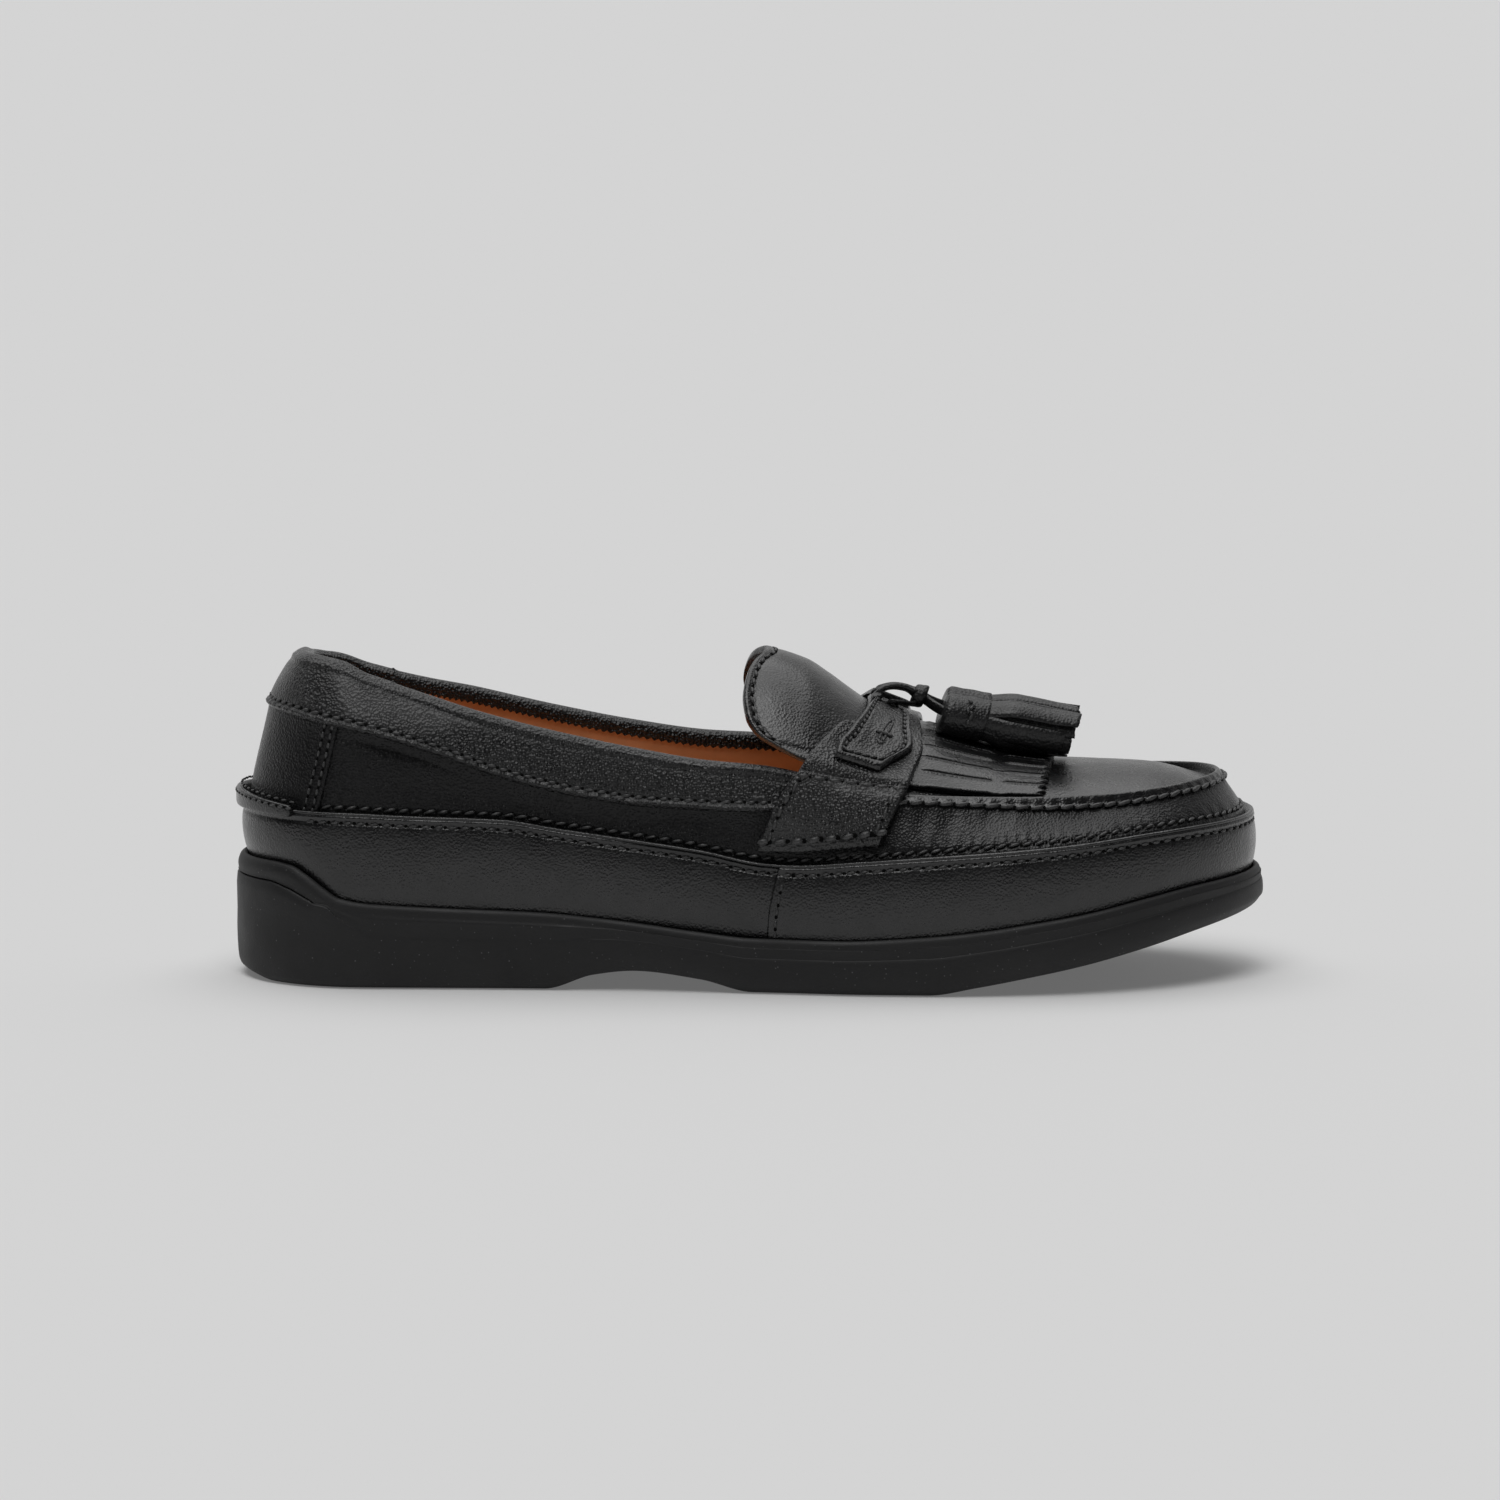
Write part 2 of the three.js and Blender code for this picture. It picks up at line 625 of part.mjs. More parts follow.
// A tab on the strap, widest at its middle row. across is the distance from the crest, on either side.
const TAB_EDGE = columns("row rearAt rearAcross frontAt frontAcross", [
  [0.0, 0.609, 0.09, 0.6315, 0.133],
  [0.2, 0.6, 0.23, 0.6435, 0.2],
  [0.45, 0.59, 0.388, 0.6463, 0.339],
  [0.65, 0.581, 0.491, 0.65, 0.455],
  [0.83, 0.571, 0.589, 0.637, 0.54],
  [1.0, 0.57, 0.655, 0.6174, 0.667],
]);
const TAB_ROWS = [0, 0.2, 0.45, 0.65, 0.83, 1];
function tab(side) {
  const grid = (height) =>
    TAB_ROWS.map((row) =>
      range(4).map((t) => {
        const at = lerp(TAB_EDGE.rearAt(row), TAB_EDGE.frontAt(row), t);
        const across = lerp(TAB_EDGE.rearAcross(row), TAB_EDGE.frontAcross(row), t);
        return lifted(saddle, at * LENGTH, side * across, strapLift(across) + STRAP + height);
      }),
    );
  return sheetSolid(grid(ON_APRON), grid(ON_APRON + TAB));
}

// The strip around the back of the heel, on the panel just above the lower band.
const HEEL_STRIP_SIZE = { low: 0.98, high: 1.085, reach: 0.062 }; // heights as shares of SEAM_HEIGHT
function heelStrip() {
  const { low, high, reach } = HEEL_STRIP_SIZE;
  const end = phiOf(reach * LENGTH);
  const sections = range(14, -end, end).map((phi) => {
    const at = stationOf(phi) / LENGTH;
    const { seam, panel } = wallSection(at, sideOf(phi));
    const on = Math.min(seam[0] - BAND_EDGE, panel(0.2)[0]) - GAP;
    const [bottom, top] = [low * SEAM_HEIGHT, high * SEAM_HEIGHT];
    return [
      inside(phi, on, bottom),
      inside(phi, on - HEEL_STRIP * 0.75, bottom),
      inside(phi, on - HEEL_STRIP, lerp(bottom, top, 0.3)),
      inside(phi, on - HEEL_STRIP, lerp(bottom, top, 0.7)),
      inside(phi, on - HEEL_STRIP * 0.75, top),
      inside(phi, on, top),
    ];
  });
  return loftSolid(sections);
}

// Closed sections in a row, capped by a fan at each end.
function loftSolid(sections) {
  const n = sections[0].length;
  const triangles = [];
  for (let r = 0; r < sections.length - 1; r++) {
    for (let i = 0; i < n; i++) {
      const j = (i + 1) % n;
      triangles.push(...quad(r * n + i, r * n + j, (r + 1) * n + j, (r + 1) * n + i));
    }
  }
  const up = (sections.length - 1) * n;
  for (let i = 1; i < n - 1; i++) triangles.push([0, i + 1, i], [up, up + i, up + i + 1]);
  return solidOf(sections.flat(), triangles);
}

// A round thong along a route.
const THONG_SIDES = 8;
function tube(points, diameter, steps) {
  const corners = range(THONG_SIDES).slice(1).map((t) => {
    const turn = 2 * Math.PI * t;
    return new THREE.Vector2((diameter / 2) * Math.cos(turn), (diameter / 2) * Math.sin(turn));
  });
  const way = points.map((q) => new THREE.Vector3(...q));
  const extrudePath = new THREE.CatmullRomCurve3(way, false, "centripetal");
  const options = { steps, bevelEnabled: false, extrudePath };
  return solidFrom(new THREE.ExtrudeGeometry(new THREE.Shape(corners), options));
}

function solidFrom(geometry) {
  geometry.deleteAttribute("normal");
  geometry.deleteAttribute("uv");
  const { attributes, index } = mergeVertices(geometry, 1e-4);
  const { array } = attributes.position;
  const points = [];
  for (let i = 0; i < array.length; i += 3) points.push(Array.from(array.slice(i, i + 3)));
  return solidOf(points, [Array.from(index.array)]);
}

// The thong leaves each tab's top, arches over the strap and meets its other half in the knot. Its points are
// a share of LENGTH along, and some thong diameters out of the middle and over the crest.
const ROUTE = [
  { at: 0.6115, out: 1.36, over: 2.59 },
  { at: 0.6207, out: 1.55, over: 3.59 },
  { at: 0.6325, out: 1.36, over: 4.55 },
  { at: 0.6445, out: 1.09, over: 4.82 },
  { at: 0.655, out: 0.86, over: 4.64 },
];
const KNOT = { at: 0.6645, out: 0, over: 4.27, radius: 2.9, length: 5.2 };
const THONG_MIDDLE = -0.8; // the knot hangs a little to the outer side
const aboveCrest = ({ at, out, over }, side) => {
  const [x, y, z] = dome(at * LENGTH, 0);
  return new THREE.Vector3(x, y + THONG_MIDDLE + side * out * LACE, z + over * LACE);
};
const knotCentre = aboveCrest(KNOT, 0);
const fromKnot = (towards) => {
  const way = towards.clone().sub(knotCentre).normalize();
  return knotCentre.clone().addScaledVector(way, KNOT.radius + ON_APRON);
};
function thong(side) {
  const route = ROUTE.map((point) => aboveCrest(point, side));
  return tube([...route, fromKnot(route[route.length - 1])], LACE, 14);
}

// The knot is a barrel of two wraps with a waist between them.
function knot() {
  const { radius, length } = KNOT;
  const half = length / 2;
  const profile = [
    [0, -half],
    [radius * 0.6, -half],
    [radius, -half * 0.55],
    [radius * 0.84, 0],
    [radius, half * 0.55],
    [radius * 0.6, half],
    [0, half],
  ].map((q) => new THREE.Vector2(...q));
  return solidFrom(new THREE.LatheGeometry(profile, 10));
}

// A tassel: a rolled head and a skirt of strips around a core, along +X from the head.
const TASSEL = {
  from: 0.686,
  to: 0.826,
  out: { outer: 7.2, inner: 7.3 },
  sag: 1, // they lie beside the crest
  headLength: 12,
  headRadius: 5.7,
  skirtRadius: 6.5,
  strips: 11,
  strip: 1.1,
  ragged: 0.8,
};
const seat = ON_APRON + KILTIE + GAP + TASSEL.skirtRadius - TASSEL.sag;
const tasselEnds = (side, out) =>
  [TASSEL.from, TASSEL.to].map((at) => aboveCrest({ at, out: out / LACE, over: seat / LACE }, side));
function tassel(length) {
  const { headLength, headRadius, skirtRadius, strips, strip, ragged } = TASSEL;
  const profile = [
    [0, 0],
    [headRadius - strip, 0],
    [headRadius, strip * 0.8],
    [headRadius, headLength - strip * 0.7],
    [headRadius - strip * 0.7, headLength],
    [skirtRadius - strip * 2.2, headLength + strip],
    [skirtRadius - strip * 1.2, length - strip * 1.4],
    [0, length - strip * 1.4],
  ].map((q) => new THREE.Vector2(...q));
  const core = solidFrom(new THREE.LatheGeometry(profile, 12).rotateZ(-Math.PI / 2));
  return range(strips).slice(1).reduce((solid, t, k) => {
    const reach = length - ragged * ((k * 3) % 4);
    const middle = 2 * Math.PI * t;
    const half = (0.84 * Math.PI) / strips;
    const sections = [
      [headLength - strip, headRadius - strip * 1.7],
      [headLength * 1.33, lerp(headRadius, skirtRadius, 0.5) - strip],
      [lerp(headLength, length, 0.6), skirtRadius - strip],
      [reach, skirtRadius - strip * 1.2],
    ].map(([x, low]) =>
      [[low, -half], [low, half], [low + strip, half], [low + strip, -half]].map(([r, turn]) => [
        x,
        r * Math.cos(middle + turn),
        r * Math.sin(middle + turn),
      ]),
    );
    return solid.add(loftSolid(sections));
  }, core);
}

const LEATHER = { color: 0x1a1a1b, roughness: 0.42, metalness: 0 };
const RUBBER = { color: 0x1d1d1e, roughness: 0.75, metalness: 0 };
const LINING = { color: 0xb4713a, roughness: 0.6, metalness: 0 };

const shoe = new THREE.Group();
function piece(name, solid, look) {
  const mesh = new THREE.Mesh(geometryOf(solid), new THREE.MeshStandardMaterial(look));
  mesh.name = name;
  shoe.add(mesh);
  return mesh;
}

piece("outsole", outsole(), RUBBER);
piece("upper", upper(), LEATHER);
piece("insole", insole(), LINING);
piece("tongue", tongue(), LEATHER);
piece("kiltie", kiltie(), LEATHER);
piece("strap", strap(), LEATHER);
piece("heel_strip", heelStrip(), LEATHER);

const barrel = piece("knot", knot(), LEATHER);
barrel.position.copy(knotCentre);
barrel.rotation.set(0.25, 0.35, 0);

for (const [name, side] of [
  ["outer", -1],
  ["inner", 1],
]) {
  piece(`tab_${name}`, tab(side), LEATHER);
  piece(`thong_${name}`, thong(side), LEATHER);
  const [head, end] = tasselEnds(side, TASSEL.out[name]);
  const way = end.clone().sub(head).normalize();
  const hanging = piece(`tassel_${name}`, tassel(head.distanceTo(end)), LEATHER);
  hanging.position.copy(head);
  hanging.quaternion.setFromUnitVectors(new THREE.Vector3(1, 0, 0), way);
  const start = fromKnot(head);
  const [bend, stop] = [LACE * 1.1, GAP].map((back) => head.clone().addScaledVector(way, -back));
  piece(`strand_${name}`, tube([start, bend, stop], LACE, 4), LEATHER);
}

// The origin is on the floor under the middle of the shoe.
const box = new THREE.Box3().setFromObject(shoe, true);
shoe.position.set(-(box.min.x + box.max.x) / 2, -(box.min.y + box.max.y) / 2, -box.min.z);

export default shoe;
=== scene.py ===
import math
from types import SimpleNamespace

import bmesh
import bpy
import numpy as np
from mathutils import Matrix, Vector


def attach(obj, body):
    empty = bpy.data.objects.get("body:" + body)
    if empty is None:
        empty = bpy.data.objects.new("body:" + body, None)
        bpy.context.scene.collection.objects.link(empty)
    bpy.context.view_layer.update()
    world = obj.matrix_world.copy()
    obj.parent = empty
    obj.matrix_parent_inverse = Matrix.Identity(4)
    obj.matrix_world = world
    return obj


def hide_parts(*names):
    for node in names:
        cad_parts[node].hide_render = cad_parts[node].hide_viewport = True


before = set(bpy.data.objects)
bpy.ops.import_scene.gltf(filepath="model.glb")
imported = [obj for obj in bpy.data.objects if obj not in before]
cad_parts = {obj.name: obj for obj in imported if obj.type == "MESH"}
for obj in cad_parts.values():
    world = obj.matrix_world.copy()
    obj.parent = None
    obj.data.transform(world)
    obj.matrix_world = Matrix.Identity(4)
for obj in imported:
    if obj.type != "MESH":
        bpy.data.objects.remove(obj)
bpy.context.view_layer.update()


# The picture is taken with a long lens from the shoe's outer side, 8 degrees above the floor.
# A large soft light hangs over the shoe, a weaker one stands before it, and the floor is plain and pale.
LENS_AWAY, SENSOR, PICTURE_WIDTH = 6.0, 36, 0.4382
LOOKED_AT = Vector((0, 0, 0.0649))
TILT = math.radians(8)
FLOOR_REACH, FLOOR_Z = 9, -0.0001


def in_scene(name, data):
    made = bpy.data.objects.new(name, data)
    bpy.context.scene.collection.objects.link(made)
    return made


def soft_light(name, toward, strength, spread):
    data = bpy.data.lights.new(name, "SUN")
    data.energy, data.angle = strength, math.radians(spread)
    in_scene(name, data).rotation_euler = Vector(toward).to_track_quat("-Z", "Y").to_euler()


def feed(tree, node, values):
    """Each input of a node gets its value, or is linked to the output that it follows."""
    for key, value in values.items():
        if isinstance(value, bpy.types.NodeSocket):
            tree.links.new(value, node.inputs[key])
        else:
            node.inputs[key].default_value = value


def add_node(tree, kind, values, **settings):
    """The outputs of a new node."""
    node = tree.nodes.new(kind)
    for key, value in settings.items():
        setattr(node, key, value)
    feed(tree, node, values)
    return node.outputs


bpy.context.scene.view_settings.view_transform = "Standard"
camera_data = bpy.data.cameras.new("camera")
camera_data.sensor_width = SENSOR
camera_data.lens = SENSOR * LENS_AWAY / PICTURE_WIDTH
camera_data.clip_end = 40
camera = in_scene("camera", camera_data)
camera.location = LOOKED_AT + Vector((0, -math.cos(TILT), math.sin(TILT))) * LENS_AWAY
camera.rotation_euler = (math.pi / 2 - TILT, 0, 0)
bpy.context.scene.camera = camera
soft_light("light_over", (0.05, -0.25, -1), 1.35, 65)
soft_light("light_front", (0.1, 0.42, -0.9), 0.95, 34)

world = bpy.data.worlds.new("studio")
world.use_nodes = True
sky = world.node_tree
seen_way = add_node(sky, "ShaderNodeTexCoord", {})["Generated"]
ahead = add_node(sky, "ShaderNodeSeparateXYZ", {0: seen_way})["Y"]
fade = {"Value": ahead, "From Min": -0.1, "From Max": 0.8, "To Min": 0.03, "To Max": 0.5}
shade = add_node(sky, "ShaderNodeMapRange", fade)["Result"]
feed(sky, sky.nodes["Background"], {"Color": (1, 1, 1, 1), "Strength": shade})
bpy.context.scene.world = world

floor_mesh = bpy.data.meshes.new("floor")
corners = [(x * FLOOR_REACH, y * FLOOR_REACH, FLOOR_Z) for x, y in ((-1, -1), (1, -1), (1, 1), (-1, 1))]
floor_mesh.from_pydata(corners, [], [(0, 1, 2, 3)])
floor = in_scene("floor", floor_mesh)
paper = bpy.data.materials.new("floor_paper")
paper.use_nodes = True
paper.node_tree.nodes.clear()
matt = add_node(paper.node_tree, "ShaderNodeBsdfDiffuse", {"Color": (0.62, 0.62, 0.62, 1)})[0]
glow = {"Color": (0.651, 0.651, 0.651, 1), "Strength": 0.196}
lit = add_node(paper.node_tree, "ShaderNodeEmission", glow)[0]
both = add_node(paper.node_tree, "ShaderNodeAddShader", {0: matt, 1: lit})[0]
add_node(paper.node_tree, "ShaderNodeOutputMaterial", {"Surface": both})
floor_mesh.materials.append(paper)


# The outsole is one moulding of black rubber, a cup with a rounded rim. A lip and a groove run round the
# heel and fade into a soft rib along the sides. The underside has shallow cross cuts.
LENGTH, BALL_WIDTH, LIP_HEIGHT = 300, 108, 36
GAP, RIM = 0.3, 3
RIM_ROUND, RIB_AT, TREAD_ROUND, TREAD_INSET = 4, 0.59, 3.5, 4.5
# All sizes are in millimetres, with x from the heel. This brings the heel to the part's place.
ROW_PLACE = np.array([-149.888, -1.129, 0.0])


def smooth(xs, ys):
    """A curve through the points of a table that never overshoots them."""
    xs, ys = np.array(xs, float), np.array(ys, float)
    slope = np.diff(ys) / np.diff(xs)
    a, b = slope[:-1], slope[1:]
    total = np.where(a + b == 0, 1, a + b)
    middle = np.where(a * b <= 0, 0, 2 * a * b / total)
    tangent = np.concatenate([[slope[0]], middle, [slope[-1]]])

    def value(x):
        t = np.clip(np.asarray(x, float), xs[0], xs[-1])
        i = np.clip(np.searchsorted(xs, t, side="right") - 1, 0, len(xs) - 2)
        w = xs[i + 1] - xs[i]
        s = (t - xs[i]) / w
        return (
            ys[i] * (2 * s**3 - 3 * s**2 + 1)
            + tangent[i] * w * (s**3 - 2 * s**2 + s)
            + ys[i + 1] * (3 * s**2 - 2 * s**3)
            + tangent[i + 1] * w * (s**3 - s**2)
        )

    return value


def columns(names, rows):
    table = np.array(rows, float)
    curves = {n: smooth(table[:, 0], table[:, k + 1]) for k, n in enumerate(names.split()[1:])}
    return SimpleNamespace(**curves)


PLAN = columns("at centre half", [
    (0.0, 0.0, 0.322), (0.06, 0.0, 0.338), (0.13, -0.003, 0.346), (0.25, -0.008, 0.352),
    (0.36, -0.017, 0.361), (0.45, -0.022, 0.388), (0.53, -0.018, 0.428), (0.61, -0.008, 0.474),
    (0.69, 0.002, 0.496), (0.74, 0.01, 0.5), (0.8, 0.022, 0.494), (0.87, 0.038, 0.478), (0.94, 0.054, 0.46),
    (1.0, 0.066, 0.445),
])
SOLE = columns("at rim bed under", [
    (0.0, 0.989, 0.57, 0.055), (0.015, 0.992, 0.57, 0.02), (0.03, 0.994, 0.57, 0.0), (0.05, 0.978, 0.57, 0.0),
    (0.065, 0.917, 0.57, 0.0), (0.085, 0.806, 0.57, 0.0), (0.1, 0.733, 0.568, 0.0), (0.13, 0.692, 0.565, 0.0),
    (0.2, 0.661, 0.556, 0.0), (0.3, 0.628, 0.5, 0.0), (0.347, 0.592, 0.44, 0.117), (0.386, 0.556, 0.4, 0.153),
    (0.45, 0.489, 0.333, 0.094), (0.5, 0.449, 0.275, 0.0), (0.58, 0.442, 0.245, 0.0),
    (0.672, 0.483, 0.248, 0.0), (0.72, 0.522, 0.285, 0.061), (0.77, 0.581, 0.34, 0.136),
    (0.83, 0.658, 0.431, 0.231), (0.89, 0.756, 0.535, 0.344), (0.94, 0.822, 0.61, 0.444),
    (1.0, 0.856, 0.66, 0.542),
])
GROOVE = columns("at z depth", [
    (0.0, 0.83, 1.3), (0.03, 0.83, 1.3), (0.05, 0.79, 1.3), (0.062, 0.745, 1.2), (0.07, 0.71, 0.8),
    (0.077, 0.68, 0.0), (0.14, 0.64, 0.0),
])


def lerp(a, b, t):
    return a + (b - a) * t


def ease(t):
    s = np.clip(t, 0, 1)
    return s * s * (3 - 2 * s)


def hump(x, middle, width):
    return np.exp(-(((x - middle) / width) ** 2))


def along(phi):
    return (1 - np.cos(phi)) / 2


def full_turn(count):
    return np.linspace(0, 2 * np.pi, count, endpoint=False)


def phi_of(x):
    return np.arccos(np.clip(1 - 2 * np.asarray(x, float) / LENGTH, -1, 1))


def outline(phi):
    """The sole's outline. phi is 0 at the heel, runs along the outer side and is pi at the toe."""
    at = along(phi)
    heel = np.clip(1 - at / 0.127, 0, 1)
    toe = np.clip(1 - (1 - at) / 0.24, 0, 1)
    end = np.sqrt(np.maximum(0, 1 - heel**2.2)) * np.sqrt(np.maximum(0, 1 - toe**2.6))
    side = np.where(np.sin(phi) >= 0, -1, 1)
    return at * LENGTH, BALL_WIDTH * (PLAN.centre(at) + side * PLAN.half(at) * end)


def inside(phi, inset, z):
    """Points at height z, set in from the outline."""
    (x, y), (ax, ay), (bx, by) = outline(phi), outline(phi - 0.01), outline(phi + 0.01)
    size = np.hypot(bx - ax, by - ay)
    return np.stack(np.broadcast_arrays(x - inset * (by - ay) / size, y + inset * (bx - ax) / size, z), -1)


def through(knots, steps):
    """Rows along a soft curve through knots, where a knot may itself be a row of points."""
    k = [np.stack(np.broadcast_arrays(*v)).astype(float) for v in knots]
    deepest = max(v.ndim for v in k)
    k = list(np.broadcast_arrays(*[v if v.ndim == deepest else v[:, None] for v in k]))
    k = [2 * k[0] - k[1], *k, 2 * k[-1] - k[-2]]
    rows = []
    for a, b, c, d in zip(k, k[1:], k[2:], k[3:]):
        for t in np.arange(steps) / steps:
            bend = (2 * a - 5 * b + 4 * c - d) * t**2 + (3 * b - a - 3 * c + d) * t**3
            rows.append((2 * b + (c - a) * t + bend) / 2)
    return rows + [k[-2]]


def quads(rows, across, wrap_rows=False, wrap_across=False):
    r = np.arange(rows if wrap_rows else rows - 1)[:, None]
    c = np.arange(across if wrap_across else across - 1)[None, :]
    r2, c2 = (r + 1) % rows, (c + 1) % across
    corners = [r * across + c, r * across + c2, r2 * across + c2, r2 * across + c]
    return np.stack(corners, -1).reshape(-1, 4)


def piece(name, parts, look, stands_for=()):
    """One closed piece from lists of points and of faces."""
    points, faces, count = [], [], 0
    for p, f in parts:
        p = np.asarray(p, float).reshape(-1, 3)
        points.append(p)
        faces.extend([[int(i) + count for i in face] for face in f])
        count += len(p)
    mesh = bpy.data.meshes.new(name)
    mesh.from_pydata(((np.concatenate(points) + ROW_PLACE) * 0.001).tolist(), [], faces)
    work = bmesh.new()
    work.from_mesh(mesh)
    bmesh.ops.remove_doubles(work, verts=work.verts, dist=2e-6)
    bmesh.ops.dissolve_degenerate(work, edges=work.edges, dist=1e-7)
    bmesh.ops.recalc_face_normals(work, faces=work.faces)
    for face in work.faces:
        face.smooth = True
    work.to_mesh(mesh)
    work.free()
    mesh.materials.append(look.material)
    made = in_scene(name, mesh)
    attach(made, "root")
    if stands_for:
        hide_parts(*stands_for)
    return made


def loft(loops, closed=False):
    """Closed loops side by side: loops[k] has the points of one loop. They join up, or have flat ends."""
    loops = np.asarray(loops)
    n, m = loops.shape[:2]
    faces = quads(n, m, wrap_rows=closed, wrap_across=True).tolist()
    if not closed:
        faces += [list(range(m)), [(n - 1) * m + i for i in range(m)][::-1]]
    return loops, faces


def grid(points):
    return points, quads(*points.shape[:2])


def across_ring(ring, steps):
    """Points straight across from one side of a ring to the other."""
    half = len(ring) // 2
    left, right = ring[: half + 1], np.concatenate([ring[:1], ring[: half - 1 : -1]])
    t = np.linspace(0, 1, steps + 1)[None, :, None]
    return left[:, None] * (1 - t) + right[:, None] * t


def finish_of(name):
    """A new material, with the nodes that lay patterns over a piece in the piece's own place."""
    material = bpy.data.materials.new(name)
    material.use_nodes = True
    tree = material.node_tree
    place = tree.nodes.new("ShaderNodeTexCoord").outputs["Object"]
    return SimpleNamespace(material=material, tree=tree, place=place, skin=tree.nodes["Principled BSDF"])


def noise(look, scale, detail=2.0, rough=0.5):
    values = {"Vector": look.place, "Scale": scale, "Detail": detail, "Roughness": rough}
    return add_node(look.tree, "ShaderNodeTexNoise", values)["Fac"]


def cells(look, scale, feature="F1", **values):
    values = {"Vector": look.place, "Scale": scale, **values}
    return add_node(look.tree, "ShaderNodeTexVoronoi", values, feature=feature)["Distance"]


def ramp(look, value, low, high, to_low=0, to_high=1):
    values = {"Value": value, "From Min": low, "From Max": high, "To Min": to_low, "To Max": to_high}
    return add_node(look.tree, "ShaderNodeMapRange", values)["Result"]


def tint(look, value, dark, pale):
    values = {"Factor": value, "A": (*dark, 1), "B": (*pale, 1)}
    return add_node(look.tree, "ShaderNodeMix", values, data_type="RGBA")["Result"]


def bump(look, *layers):
    """Bump from layers of (height, strength, depth in metres)."""
    below = {}
    for height, strength, distance in layers:
        values = {"Height": height, "Strength": strength, "Distance": distance, **below}
        below = {"Normal": add_node(look.tree, "ShaderNodeBump", values)["Normal"]}
    return below["Normal"]


def give(look, **values):
    feed(look.tree, look.skin, {key.replace("_", " "): value for key, value in values.items()})


# The rubber is cloudy, with pale specks where a second pattern lets them show.
rubber = finish_of("sole_rubber")
cloud = noise(rubber, 60, 3)
specks = ramp(rubber, cells(rubber, 620), 0.06, 0.17, 1, 0)
showing = ramp(rubber, noise(rubber, 260), 0.47, 0.58)
pale_specks = add_node(rubber.tree, "ShaderNodeMath", {0: specks, 1: showing}, operation="MULTIPLY")[0]
give(rubber, Base_Color=tint(rubber, pale_specks, (0.0125, 0.0125, 0.013), (0.085, 0.085, 0.088)),
     Roughness=ramp(rubber, cloud, 0.35, 0.7, 0.5, 0.62), Specular_IOR_Level=0.42,
     Normal=bump(rubber, (noise(rubber, 1500, 3, 0.6), 0.25, 0.0003), (cloud, 0.12, 0.002)))

AROUND = full_turn(840)
at = along(AROUND)
rim, bed, under = (column(at) * LIP_HEIGHT for column in (SOLE.rim, SOLE.bed, SOLE.under))
rib = lerp(under, rim, RIB_AT)
groove = np.minimum(GROOVE.z(at) * LIP_HEIGHT, rim - RIM_ROUND)
heel = 1 - ease((at * LENGTH - 24) / 18)
depth = 0.3 + 2.0 * GROOVE.depth(at)
rib_out = lerp(0.2, 0.55, ease((at * LENGTH - 110) / 70))
side = [
    (RIM, bed), (RIM, lerp(bed, rim, 0.5)), (RIM, rim - 1.1), (RIM * 0.93, rim - 0.35), (RIM * 0.7, rim),
    (RIM * 0.35, rim - RIM_ROUND * 0.2), (RIM * lerp(0.2, 0.12, heel), rim - RIM_ROUND * 0.7),
    (lerp(rib_out, 0.45, heel), lerp(lerp(rim, rib, 0.4), groove + 1.1, heel)),
    (lerp(rib_out, 0.55, heel), lerp(lerp(rim, rib, 0.5), groove + 0.5, heel)),
    (lerp(rib_out, depth, heel), lerp(lerp(rim, rib, 0.7), groove + 0.34, heel)),
    (lerp(rib_out * 0.95, depth, heel), lerp(lerp(rim, rib, 0.85), groove - 0.34, heel)),
    (lerp(rib_out * 0.7, 0.12, heel), lerp(rib + 0.8, groove - 0.48, heel)),
    (0.05, rib - 0.6 - 2 * heel), (0, lerp(under, rim, 0.3)), (TREAD_INSET * 0.12, under + TREAD_ROUND * 0.7),
    (TREAD_INSET * 0.42, under + TREAD_ROUND * 0.22), (TREAD_INSET * 0.75, under + 0.12),
    (TREAD_INSET, under),
]
side_in, side_z = (through([np.broadcast_to(s[n], at.shape) for s in side], 3) for n in (0, 1))
walls = np.stack([inside(AROUND, i, z) for i, z in zip(side_in, side_z)])
CUT_PITCH, CUT_DEPTH = 6.4, 0.9
tread = across_ring(walls[-1], 56)
cut = np.mod((tread[..., 0] + 1.6 * np.sin(tread[..., 1] / 5.2)) / CUT_PITCH, 1)
from_edge = np.minimum(np.arange(57), np.arange(57)[::-1])[None, :] * np.ones((len(tread), 1))
worn = ((tread[..., 0] > 6) & (tread[..., 0] < 92)) | ((tread[..., 0] > 150) & (tread[..., 0] < 288))
tread[..., 2] += np.where((cut < 0.2) & (from_edge > 3) & worn, CUT_DEPTH, 0)
tread[..., 2] = np.maximum(tread[..., 2], 0)
ring_walls = (walls, quads(len(walls), len(AROUND), wrap_across=True))
sole_parts = [ring_walls, grid(tread), grid(across_ring(walls[0], 12))]
piece("outsole_moulding", sole_parts, rubber, ["outsole"])


# The insole is a thin pad covered with tan leather, cut to the inside of the cup and laid in it loose under
# the foot. It dips a little in its middle.
INSOLE, WALL = 3.2, 2
tan_leather = finish_of("tan_leather")
tan_cloud, tan_grain = noise(tan_leather, 45, 4), noise(tan_leather, 1300)
tan_shade = ramp(tan_leather, tan_cloud, 0.3, 0.7)
give(tan_leather, Base_Color=tint(tan_leather, tan_shade, (0.70, 0.36, 0.18), (0.84, 0.46, 0.245)),
     Roughness=ramp(tan_leather, tan_cloud, 0.3, 0.7, 0.5, 0.62),
     Normal=bump(tan_leather, (tan_grain, 0.25, 0.0002), (tan_cloud, 0.15, 0.001)))

